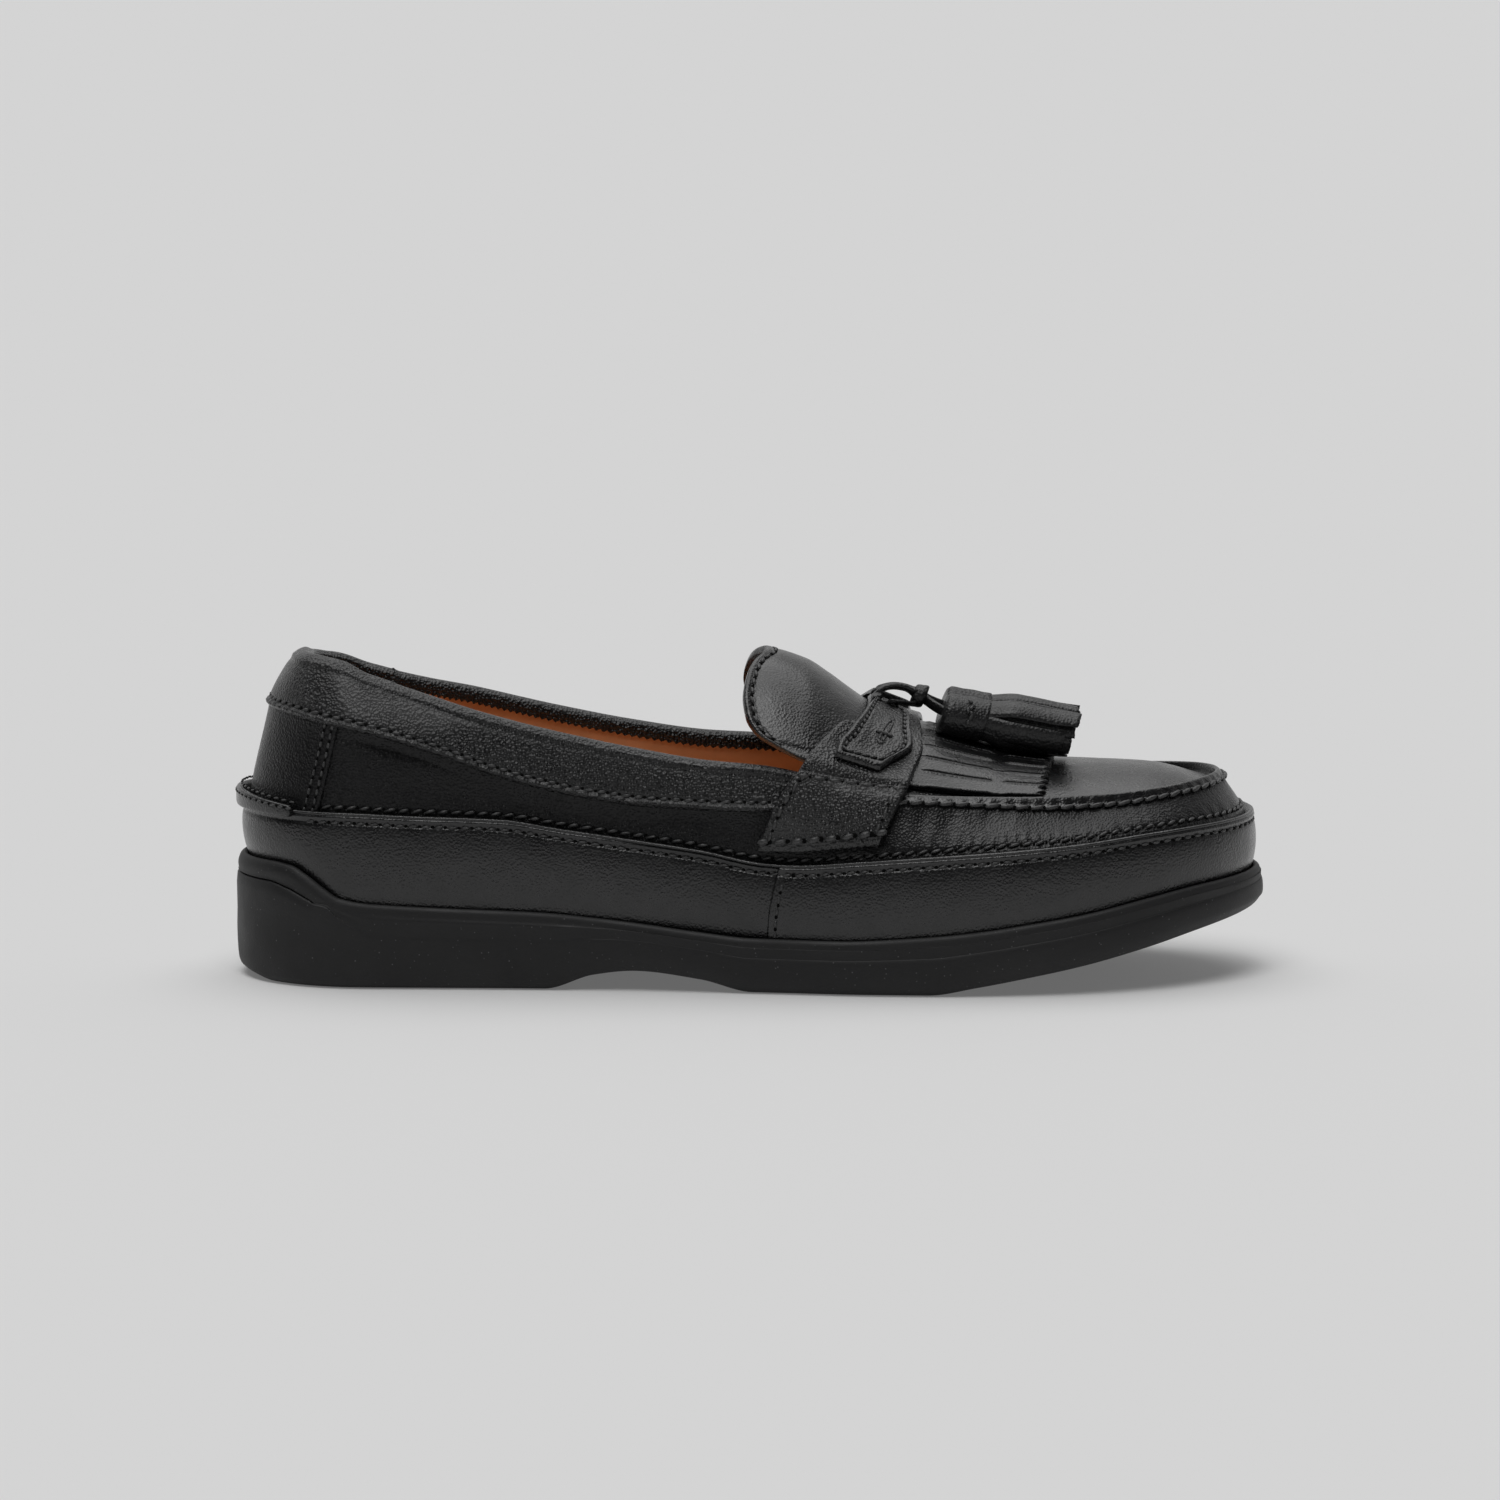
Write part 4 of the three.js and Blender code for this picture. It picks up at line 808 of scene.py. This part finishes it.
def dome(station, share):
    """The apron's top, share from -1 at the outer edge through 0 at the crest to 1 at the inner edge."""
    station, share = np.broadcast_arrays(np.asarray(station, float), np.asarray(share, float))
    phi = phi_of(station)
    p = lerp(apron_edge(phi), apron_edge(-phi), ((share + 1) / 2)[..., None])
    crest = CREST.z(p[..., 0] / LENGTH) * INSTEP_HEIGHT
    p[..., 2] += (crest - p[..., 2]) * (1 - np.abs(share) ** 2.15)
    return p


def over_dome(station, share, height):
    return surface_row(dome, station, share, height, 0.5)


apron_station = along(np.linspace(phi_of(165), phi_of(299.8), 190)) * LENGTH
over = dome(*np.meshgrid(apron_station, np.linspace(-1, 1, 91), indexing="ij"))
apron = sheet(over - (0, 0, APRON), over, "abcd")
piece("apron", [apron], smooth_leather)

ridge_phis = np.linspace(phi_of(166), 2 * np.pi - phi_of(166), 640)
k = key_lines(ridge_phis)
flank = through([
    (k.edge_in + 1.3, k.edge_z - 1.2), (k.edge_in + 0.1, k.edge_z - 0.5), (k.edge_in - 0.55, k.edge_z + 0.25),
    (lerp(k.edge_in, k.top_in, 0.3) - 0.4, lerp(k.edge_z, k.top_z, 0.35)),
    (lerp(k.edge_in, k.top_in, 0.62) - 0.25, lerp(k.edge_z, k.top_z, 0.75)),
    (k.top_in - 0.2, k.top_z + 0.1), (k.top_in + 0.35, k.top_z + 0.35), (k.top_in + 0.95, k.top_z),
    (k.top_in + 1.25, k.top_z - 1.1), (k.top_in + 1.5, k.top_z - 2.3), (k.top_in + 2.2, k.top_z - 3.2),
    (k.top_in + 1.5, k.top_z - 3.8), (k.edge_in + 1.8, k.edge_z - 1.8),
], 3)[:-1]
ridge_way = steps_along(inside(ridge_phis, k.edge_in, k.edge_z))
ROPE_PITCH = ridge_way[-1] / round(ridge_way[-1] / 4.4)
OUTSIDE_ROWS = 22
pull = 0.13 * (1 - np.cos(2 * np.pi * ridge_way / ROPE_PITCH))
drawn = [pull * hump(n, 9, 5) * (n < OUTSIDE_ROWS) for n in range(len(flank))]
ridge = [inside(ridge_phis, i + d, z) for (i, z), d in zip(flank, drawn)]
piece("apron_seam", [loft(np.stack(ridge, 1))], smooth_leather)


def rope_line(phi, s):
    k = key_lines(phi)
    return inside(phi, lerp(k.edge_in, k.top_in, s) - 0.75, lerp(k.edge_z, k.top_z, s))


rope_row = outward(rope_line, ridge_phis, 0.12, 0.15)
sew("apron_rope_{}", [rope_row], ROPE_PITCH, (4.7, 1.35, 1.3), (1.0, 1.4, 0.45), slant=0.2)


# The tongue is one thick piece of smooth leather over the instep. Its rear edge is rolled and sewn down.
# Its front end lies under the strap.
TONGUE, TONGUE_END, TONGUE_SIDE = 1.8, 0.616, 0.94
ON_APRON = GAP + 0.15
TONGUE_EDGE = columns("across rear", [
    (0.0, 0.508), (0.08, 0.5075), (0.2, 0.502), (0.32, 0.495), (0.44, 0.4905), (0.62, 0.487), (0.75, 0.49),
    (0.84, 0.5), (0.9, 0.523), (0.94, 0.552),
])
tongue_along, full_along = edged(44, 38, 0.9)
tongue_across, full_across = edged(110, 95, 0.9)
r, a = np.meshgrid(tongue_along, TONGUE_SIDE * (2 * tongue_across - 1), indexing="ij")
rear = TONGUE_EDGE.rear(np.abs(a)) * LENGTH
station = lerp(rear, TONGUE_END * LENGTH, r)
full = np.minimum(full_along[:, None], 1) * full_across[None, :]
border_way = np.minimum(station - rear, (1 - np.abs(a) / TONGUE_SIDE) * 48)
roll = 0.5 * hump(border_way, 1.1, 0.9) - 0.5 * hump(border_way, 2.7, 0.55)
tongue_low, _ = over_dome(station, a, ON_APRON)
tongue_high, _ = over_dome(station, a, ON_APRON + (TONGUE + roll) * full)
piece("tongue_leather", [sheet(tongue_low, tongue_high)], smooth_leather, ["tongue"])
across = np.linspace(-0.875, 0.875, 160)
tongue_row = over_dome(TONGUE_EDGE.rear(np.abs(across)) * LENGTH + 2.7, across, ON_APRON + TONGUE - 0.05)
sew("tongue_{}", [tongue_row], 3.3, (2.9, 1.1, 1.0), (1.2, 1.1, 0.4), slant=0.22, uneven=0.15)


# The kiltie is a flap of smooth leather on the apron in front of the strap, cut through by two rows of
# slits and pinked along its front edge.
KILTIE, KILTIE_REAR, KILTIE_FRONT, STRIPS = 1.5, 0.6174, 0.79, 13
SLIT_FROM, SLIT_TO, FRINGE_FROM = 199, 219.5, 224.5
strip_along, strip_full = edged(46, 50, 0.5)
width_shares, width_full = edged(15, 5.5, 0.3)
station = lerp(KILTIE_REAR, KILTIE_FRONT, strip_along) * LENGTH
rear_slit = ease((station - SLIT_FROM) / 1.5) * (1 - ease((station - SLIT_TO) / 1.5))
open_slit = np.maximum(rear_slit, ease((station - FRINGE_FROM) / 1.5))
shrink = 1 - 0.04 * open_slit
half_at = lerp(0.89, 0.945, strip_along)
teeth = 2.7 * np.abs(np.mod(width_shares * 2 + 0.5, 1) - 0.5) * 2
lips = 0.42 * open_slit[:, None] * hump(np.minimum(width_shares, 1 - width_shares)[None, :] * 5.5, 0.3, 0.22)
kiltie_parts = []
for n in range(STRIPS):
    middle = lerp(-1, 1, (n + 0.5) / STRIPS)
    across = middle + (2 * width_shares - 1) / STRIPS
    share = (middle + (across[None, :] - middle) * shrink[:, None]) * half_at[:, None]
    round_off = lerp(1, width_full[None, :], open_slit[:, None])
    if n in (0, STRIPS - 1):
        first = np.arange(len(width_shares)) < len(width_shares) / 2
        free = first if n == 0 else ~first
        round_off = np.where(free[None, :], width_full[None, :], round_off)
    pinked = teeth[None, :] - 1.2 - 2.4 * (1 - across[None, :] ** 2)
    place_along = station[:, None] - pinked * ease((strip_along - 0.8) / 0.2)[:, None]
    curl = 0.3 * ((n * 7) % 5 - 2) / 2 * ease((station - 205) / 30)[:, None]
    height = ON_APRON + np.maximum(curl, 0)
    low_grid, _ = over_dome(place_along, share, height)
    high_grid, _ = over_dome(place_along, share, height + (KILTIE + lips) * strip_full[:, None] * round_off)
    kiltie_parts.append(sheet(low_grid, high_grid))
piece("kiltie_leather", kiltie_parts, smooth_leather, ["kiltie"])


# The strap is a saddle of grained leather across the instep, over the tongue and the kiltie's rear edge.
# Each end has a second layer sewn on, and is fixed to the upper's side with heavy stitches.
STRAP, PATCH, PATCH_FROM, STRAP_TIP = 1.5, 0.9, 5 / 7, 0.957
STRAP_FOOT_IN, OFF_TONGUE, PATCH_SEAM = 1.0, 0.735, 0.735
STRAP_EDGE = columns("across rear front", [
    (0.0, 0.603, 0.655), (0.3, 0.6, 0.66), (0.38, 0.597, 0.661), (0.425, 0.579, 0.662), (0.55, 0.562, 0.656),
    (0.714, 0.541, 0.649), (0.857, 0.518, 0.642), (0.964, 0.503, 0.623),
])


def saddle(station, across):
    """The surface under the strap, across from -1 at the outer band seam over the crest to 1 at the inner."""
    station, across = np.broadcast_arrays(np.asarray(station, float), np.asarray(across, float))
    knots = []
    for side_of in (-1, 1):
        turn = -side_of * phi_of(station)
        k = key_lines(turn)
        half = [
            inside(turn, k.seam_in + BAND_LEDGE + STRAP_FOOT_IN, k.seam_z),
            inside(turn, k.edge_in - COLLAR_STEP * 0.9, k.edge_z),
            inside(turn, k.top_in - 0.35, k.top_z + 0.21),
            *(dome(station, side_of * share) for share in (0.8, 0.6, 0.4, 0.2)),
        ]
        knots += half + [dome(station, 0)] if side_of < 0 else half[::-1]
    k = np.stack([2 * knots[0] - knots[1], *knots, 2 * knots[-1] - knots[-2]])
    place_on = np.clip((across + 1) / 2, 0, 1) * (len(knots) - 1)
    i = np.minimum(place_on.astype(int), len(knots) - 2)
    w = (place_on - i)[..., None]
    p, a, b, q = (np.take_along_axis(k, (i + j)[None, ..., None], 0)[0] for j in range(4))
    before, here, after = (
        np.maximum((((v - u) ** 2).sum(-1, keepdims=True)) ** 0.25, 1e-4) for u, v in ((p, a), (a, b), (b, q))
    )
    t1 = ((a - p) / before - (b - p) / (before + here) + (b - a) / here) * here
    t2 = ((b - a) / here - (q - a) / (here + after) + (q - b) / after) * here
    return a + t1 * w + (3 * b - 3 * a - 2 * t1 - t2) * w**2 + (2 * a - 2 * b + t1 + t2) * w**3


def over_saddle(station, across, height):
    """Points on the strap's underside or above it. The strap lies on the tongue, and on the sides beyond."""
    lift = lerp(GAP + 0.35, 2 * ON_APRON + TONGUE, ease((OFF_TONGUE - np.abs(across)) / 0.05))
    return surface_row(saddle, station, across, lift + height, 0.5)


def on_strap(across, share, height):
    across, share = np.broadcast_arrays(np.asarray(across, float), np.asarray(share, float))
    edges = (edge(np.abs(across)) * LENGTH for edge in (STRAP_EDGE.rear, STRAP_EDGE.front))
    return over_saddle(lerp(*edges, share), across, height)


strap_along, full_along = edged(34, 30, 0.7)
strap_side = np.concatenate([
    np.linspace(0, 0.7, 60), [0.708, 0.713, 0.7155, 0.718], np.linspace(0.724, 0.95, 26),
    [STRAP_TIP, 0.961, 0.963, 0.964],
])
strap_across = np.concatenate([-strap_side[::-1], strap_side[1:]])
end_full = np.sqrt(np.clip(1 - np.clip((np.abs(strap_across) - STRAP_TIP) / 0.007, 0, 1) ** 2, 0, 1))
r, a = np.meshgrid(strap_along, strap_across, indexing="ij")
on_end = ease((np.abs(a) - PATCH_FROM) / 0.006)
border_way = np.minimum(r, 1 - r) * (STRAP_EDGE.front(np.abs(a)) - STRAP_EDGE.rear(np.abs(a))) * LENGTH
groove_in = 0.22 * hump(border_way, 2.4, 0.5) * on_end
thickness = (STRAP + PATCH * on_end - groove_in) * full_along[:, None] * end_full[None, :]
strap = sheet(on_strap(a, r, 0.0)[0], on_strap(a, r, thickness)[0])
grained_leather = black_leather("grained_leather", 1.3, 0.8, (0.25, 0.36), waves=0.15)
piece("strap_leather", [strap], grained_leather, ["strap"])
strap_rows, heavy_rows = [], []
for side_of in (-1, 1):
    down = np.linspace(PATCH_SEAM, 0.925, 50) * side_of
    strap_rows += [on_strap(down, share, STRAP + PATCH) for share in (0.07, 0.92)]
    strap_rows.append(on_strap(PATCH_SEAM * side_of, np.linspace(0.07, 0.92, 40), STRAP + PATCH))
    heavy_rows.append(on_strap(0.935 * side_of, np.linspace(0.03, 0.97, 40), STRAP + PATCH + 0.25))
sew("strap_{}", strap_rows, 4.1, (3.5, 1.15, 1.1), (0.9, 1.0, 0.35), slant=0.1)
sew("strap_heavy_{}", heavy_rows, 4.4, (4.0, 1.9, 1.9), (1.6, 1.5, 0.5), slant=0.2)


# Two tabs lie on the strap, each a folded piece of grained leather sewn all round, with a loop of thread
# through its middle. A thong comes out of its top corner.
TAB, TAB_SEAM = 1.5, 0.118
TAB_EDGE = columns("row rear_at rear_across front_at front_across", [
    (0.0, 0.609, 0.09, 0.6315, 0.133), (0.2, 0.6, 0.23, 0.6435, 0.2), (0.45, 0.59, 0.388, 0.6463, 0.339),
    (0.65, 0.581, 0.491, 0.65, 0.455), (0.83, 0.571, 0.589, 0.637, 0.54), (1.0, 0.57, 0.655, 0.6174, 0.667),
])


def on_tab(row, t, side_of, height):
    """Points over the strap where a tab lies, row from top to tip and t from rear to front."""
    at = lerp(TAB_EDGE.rear_at(row), TAB_EDGE.front_at(row), t)
    across = lerp(TAB_EDGE.rear_across(row), TAB_EDGE.front_across(row), t)
    return over_saddle(at * LENGTH, side_of * across, STRAP + ON_APRON + height)


tab_leather = black_leather("tab_leather", 0.7, 0.75, (0.24, 0.35), waves=0.2)
tab_rows, tab_full = edged(46, 30, 0.7)
tab_across, tab_across_full = edged(26, 17, 0.7)
row, t = np.meshgrid(tab_rows, tab_across, indexing="ij")
border_way = np.minimum(np.minimum(row, 1 - row) * 30, np.minimum(t, 1 - t) * 17)
raised = 0.55 * hump(border_way, 0.9, 0.7) - 0.5 * hump(border_way, 2.1, 0.5) - 0.1 * ease(border_way - 2.0)
thick = (TAB + raised) * tab_full[:, None] * tab_across_full[None, :]
near, far = TAB_SEAM, 1 - TAB_SEAM
seam_sides = [  # the seam's four sides: row from and to, t from and to, points
    (0.08, 0.92, near, near, 30), (0.92, 0.92, near, far, 16), (0.92, 0.08, far, far, 30),
    (0.08, 0.08, far, near, 12),
]
seam_row, seam_t = (np.concatenate([np.linspace(*s[i:i + 2], s[4]) for s in seam_sides]) for i in (0, 2))
loop_turn = np.linspace(0, 2 * np.pi, 40)
loop_share = 0.5 - 0.5 * np.cos(loop_turn)
loop_station = lerp(0.6265, 0.615, loop_share) * LENGTH + 0.85 * np.sin(loop_turn)
loop_across = lerp(0.322, 0.5, loop_share)
on_top = STRAP + ON_APRON + TAB
for side_name, side_of in (("outer", -1), ("inner", 1)):
    tab = sheet(on_tab(row, t, side_of, 0)[0], on_tab(row, t, side_of, thick)[0])
    piece(f"tab_leather_{side_name}", [tab], tab_leather, [f"tab_{side_name}"])
    seam = on_tab(seam_row, seam_t, side_of, TAB - 0.1)
    name = f"tab_{{}}_{side_name}"
    sew(name, [seam], 2.4, (2.1, 1.05, 1.0), (0.6, 0.9, 0.35), slant=0.2)
    loop = over_saddle(loop_station, side_of * loop_across, on_top - 0.05)
    cross = over_saddle(np.linspace(184.2, 187.4, 8), side_of * 0.44, on_top + 0.2)
    stitches(f"tab_bar_{side_name}", [loop, cross], 1.5, (2.3, 0.95, 1.0))


# A short strip of leather wraps round the back of the heel over the band's seam. It covers the ends of the
# band's stitches, and is sewn on along its middle and above its top edge.
HEEL_STRIP, STRIP_END = 2.1, 15.6
strip_phi = np.linspace(-phi_of(STRIP_END), phi_of(STRIP_END), 90)
k = key_lines(strip_phi)
panel_at = lerp(k.seam_in + BAND_LEDGE, k.edge_in, 0.2**PANEL_CURVE) + 1 - 0.2**4 - 1.0
on = np.minimum(k.seam_in - 0.2, panel_at) - GAP
low_z, high_z = 0.98 * SEAM_HEIGHT, lerp(1.085, 1.045, k.x / STRIP_END) * SEAM_HEIGHT
strip_loops = []
for turn in full_turn(20):
    out_by = HEEL_STRIP * (0.5 + 0.5 * bent(np.cos(turn), 0.55))
    strip_z = lerp(low_z, high_z, 0.5 + 0.5 * bent(np.sin(turn), 0.5))
    strip_loops.append(inside(strip_phi, on - out_by, strip_z))
strip = loft(np.stack(strip_loops, 1))
piece("heel_strip_leather", [strip], smooth_leather, ["heel_strip"])
strip_up = unit(inside(strip_phi, on - HEEL_STRIP - 1, low_z) - inside(strip_phi, on - HEEL_STRIP, low_z))
strip_lines = (on - HEEL_STRIP + 0.05, lerp(low_z, high_z, 0.78)), (on - 0.4, high_z + 0.9)
strip_rows = [(inside(strip_phi, i, z), strip_up) for i, z in strip_lines]
sew("heel_strip_{}", strip_rows, 3.0, (2.2, 0.75, 0.7), (1.0, 0.8, 0.35), slant=0.15)


# A flat leather thong comes out of each tab's top, arches over the strap and runs through the knot to its
# tassel. The knot is a strip wrapped round both thongs, and its tail lies on the outer tab.
LACE, THONG_MIDDLE, THONG_WIDTH = 2.2, -0.8, 3.1
ROUTE = [  # place along the shoe, then out and up from the crest in laces
    (0.6115, 1.36, 2.59), (0.6207, 1.55, 3.7), (0.6325, 1.36, 4.75), (0.6445, 1.09, 5.05),
    (0.655, 0.86, 4.75),
]
KNOT_AT, KNOT_OVER = 0.6645, 4.27
TASSEL_FROM, TASSEL_TO, TASSEL_SEAT = 0.686, 0.826, ON_APRON + KILTIE + GAP + 5.5
SIDES = (("outer", -1, 7.2), ("inner", 1, 7.3))


def by(*shift):
    return np.array(shift, float)


def above_crest(at, out_by, over_by, side_of):
    return dome(at * LENGTH, 0.0) + by(0, THONG_MIDDLE + side_of * out_by, over_by)


def flat_thong(points, width, thickness, twist):
    """A flat strap with rounded edges along points. twist turns its width from level, in radians."""
    way = unit(np.gradient(points, axis=0))
    level = unit(np.cross(way, by(0, 0, 1)))
    up = np.cross(level, way)
    cos_twist, sin_twist = np.cos(twist)[:, None], np.sin(twist)[:, None]
    flat, thick = level * cos_twist + up * sin_twist, up * cos_twist - level * sin_twist
    c, s = bent(np.cos(full_turn(16)), 0.6), bent(np.sin(full_turn(16)), 0.8)
    across = flat[:, None] * (c * width / 2)[None, :, None]
    return loft(points[:, None] + across + thick[:, None] * (s * thickness / 2)[None, :, None])


tassel_leather = black_leather("tassel_leather", 0.7, 0.8, (0.33, 0.48), shine=0.4)
knot_at = above_crest(KNOT_AT, 0, KNOT_OVER * LACE, 0)
hanging, knot_parts = {}, []
for side_name, side_of, out_by in SIDES:
    head, tail = (above_crest(at, out_by, TASSEL_SEAT, side_of) for at in (TASSEL_FROM, TASSEL_TO))
    way = unit(tail - head)
    knots = [on_tab(0.08, 0.12, side_of, 1.7)[0]]
    shifts = [by(1.35, side_of * 1.9, -0.1), by(0, side_of * 0.3, 0), 0, 0, 0]
    for n, (a, o, v) in enumerate(ROUTE):
        lower = 0.7 * math.sin(math.pi * n / 4) if side_of > 0 else 0
        knots.append(above_crest(a, o * LACE, v * LACE - lower, side_of) + shifts[n])
    knots += [knot_at + by(0, side_of * 1.4, 0.1), lerp(knot_at, head, 0.6) + by(0, side_of * 0.2, 0)]
    route = np.array(through([*knots, head + way * 1.5, head + way * 4], 5))
    twist = -side_of * lerp(0.4, 1.45, ease((np.linspace(0, 1, len(route)) - 0.5) / 0.12))
    strip = flat_thong(route, THONG_WIDTH, 1.5, twist)
    nodes_of = [f"thong_{side_name}", f"strand_{side_name}"]
    thong = piece(f"thong_{side_name}_leather", [strip], tassel_leather, nodes_of)
    hanging[side_name] = (thong, route, head, tail)
    if side_of < 0:
        rest = on_tab(0.1, 0.5, side_of, 2.2)[0]
        under_knot = knot_at + by(-1.4, side_of * 0.9, -0.7)
        tail_knots = [
            rest, lerp(rest, under_knot, 0.33) - by(0, 0, 0.3), lerp(rest, under_knot, 0.68) - by(0, 0, 0.7),
            under_knot, under_knot + by(1.6, 0, -0.2),
        ]
        tail_route = np.array(through(tail_knots, 6))
        knot_parts.append(flat_thong(tail_route, 2.9, 1.3, np.full(len(tail_route), -side_of * 0.35)))

WRAP = [  # the wrap's section: along the thongs and out from them, each in its own half width
    (-1, -0.3), (-1, 0.35), (-0.85, 0.85), (-0.4, 1.05), (0, 0.95), (0.4, 1.05), (0.85, 0.85), (1, 0.35),
    (1, -0.3), (0, -0.5),
]
loops = []
for g in full_turn(56):
    loops.append([])
    for c, v in WRAP:
        radius_at = 2.5 + 0.6 * v + 0.25 * math.cos(g - 1.9) ** 8
        up_by = radius_at * math.sin(g)
        loops[-1].append((c * 1.9 + 0.4 * up_by, radius_at * 1.1 * math.cos(g), up_by - 0.25 * c))
knot_parts.append(loft(np.array(loops) + knot_at + by(-1.4, 0, 0.7), True))
knot = piece("knot_wraps", knot_parts, tassel_leather, ["knot"])


# Each tassel is a rolled head of leather over a fringe of wide cut strips. It hangs on its thong and lies
# on the kiltie. A cross of thread closes the roll.
HEAD_LENGTH, HEAD_RADIUS = 12.2, 6.2
HEAD = [  # along the head, radius against HEAD_RADIUS
    (-0.9, -5.9), (-0.85, -4.4), (-0.9, -2.6), (-0.7, -0.75), (0.0, -0.1), (1.2, 0.0), (3.4, -0.12),
    (6.5, 0.1), (9.5, -0.05), (11.2, 0.05), (11.9, 0.0), (12.2, -0.35), (12.25, -1.1), (12.0, -2.2),
    (12.0, -5.9),
]
FRINGE = [  # turn round the tassel in degrees, width, length against the longest, radius, curl at the end
    (75, 5.0, 0.0, 6.8, 0.2), (127, 6.6, 0.4, 7.0, 0.0), (192, 6.6, -3.4, 6.9, -1.3),
    (240, 6.8, -4.0, 6.7, -1.6), (290, 6.0, -1.0, 6.3, 0.0), (338, 6.0, -0.6, 6.3, 0.0),
    (26, 5.6, -0.4, 6.5, 0.1), (150, 5.2, -0.6, 5.2, 0.3), (205, 5.4, -1.2, 5.3, 0.2),
    (262, 5.0, -1.6, 5.0, -0.4), (320, 5.0, -2.0, 4.8, 0.0), (20, 5.0, -1.5, 4.8, 0.0),
    (95, 5.0, -1.0, 5.0, 0.2), (120, 4.0, -1.8, 2.9, 0.0), (240, 4.0, -2.2, 2.9, 0.2),
    (0, 4.0, -1.5, 2.9, 0.0),
]
HALF_EDGE = [(-1, -0.4), (-1, 0.4), (-0.94, 0.9), (-0.6, 1), (-0.2, 1), (0.2, 1), (0.6, 1), (0.94, 0.9)]
STRIP_SECTION = HALF_EDGE + [(-c, -v) for c, v in HALF_EDGE]
CROSS_X, CROSS_TURN = (6.4, 7.7, 6.0, 7.4, 6.6), (52, 42, 24, 16, -6)
head_turn = full_turn(72)
lap = 0.75 * ease((head_turn - 1.75) / 0.12) * (1 - ease((head_turn - 1.87) / 4.0))


def zigzag(corners):
    return np.concatenate([np.linspace(a, b, 6) for a, b in zip(corners, corners[1:])])


for side_name, side_of, _ in SIDES:
    thong, route, head, tail = hanging[side_name]
    full_length = np.linalg.norm(tail - head)
    way = unit(tail - head)
    level = unit(np.cross(by(0, 0, 1), way))
    up = np.cross(way, level)

    def in_tassel(x, radius_at, turned):
        """turned is 0 away from the shoe's middle line, a quarter turn at the top."""
        y, z = side_of * radius_at * np.cos(turned), radius_at * np.sin(turned)
        return head + way * np.asarray(x)[..., None] + level * y[..., None] + up * z[..., None]

    loops = []
    for x, over_radius in HEAD:
        radius_at = HEAD_RADIUS + over_radius
        round_by = radius_at * (1 + 0.02 * np.cos(2 * head_turn + 1)) + lap * (radius_at > 5)
        loops.append(in_tassel(x + 0.14 * radius_at * np.sin(head_turn), round_by, head_turn))
    parts = [loft(loops)]
    for turned, wide, longer, radius_to, curl in FRINGE:
        middle = math.radians(180 - turned)
        x = np.linspace(HEAD_LENGTH - 1.6, full_length + longer, 26)
        share = (x - x[0]) / (x[-1] - x[0])
        wave = 0.35 * np.sin(share * 5 + turned) * share
        radius_from = min(HEAD_RADIUS - 1.1, radius_to - 0.5)
        radius_at = lerp(radius_from, radius_to, ease(share * 2.6)) + wave + curl * share**5
        narrow = 1 - 0.12 * share**6
        loops = []
        for c, v in STRIP_SECTION:
            angle = middle + c * wide * narrow / 2 / radius_at + math.sin(turned) * 0.05 * share
            ragged = x + (0.55 * c * math.sin(turned * 1.7) + 0.2 * math.sin(9 * c + turned)) * share**3
            loops.append(in_tassel(ragged, radius_at + 0.62 * v, angle))
        parts.append(loft(np.stack(loops, 1)))
    # What would go through the kiltie is pressed flat on it.
    settled = []
    for points, faces in parts:
        flat = np.array(points, float).reshape(-1, 3)
        phis = phi_of(flat[:, 0])
        near_y, far_y = apron_edge(phis)[:, 1], apron_edge(-phis)[:, 1]
        share = np.clip((flat[:, 1] - (near_y + far_y) / 2) / ((far_y - near_y) / 2), -1, 1)
        kiltie_top = dome(flat[:, 0], share)[:, 2] + ON_APRON + KILTIE + 0.25
        flat[:, 2] = np.maximum(flat[:, 2], kiltie_top)
        settled.append((flat, faces))
    tassel = piece(
        f"tassel_{side_name}_leather", settled, tassel_leather, [f"tassel_{side_name}"]
    )
    cross_x = zigzag(CROSS_X)
    cross_at = in_tassel(cross_x, np.full(24, HEAD_RADIUS + 0.5), np.radians(zigzag(CROSS_TURN)))
    cross_row = cross_at, unit(cross_at - (head + way * cross_x[:, None]))
    stitches(f"tassel_cross_{side_name}", [cross_row], 1.4, (2.2, 1.0, 0.9))
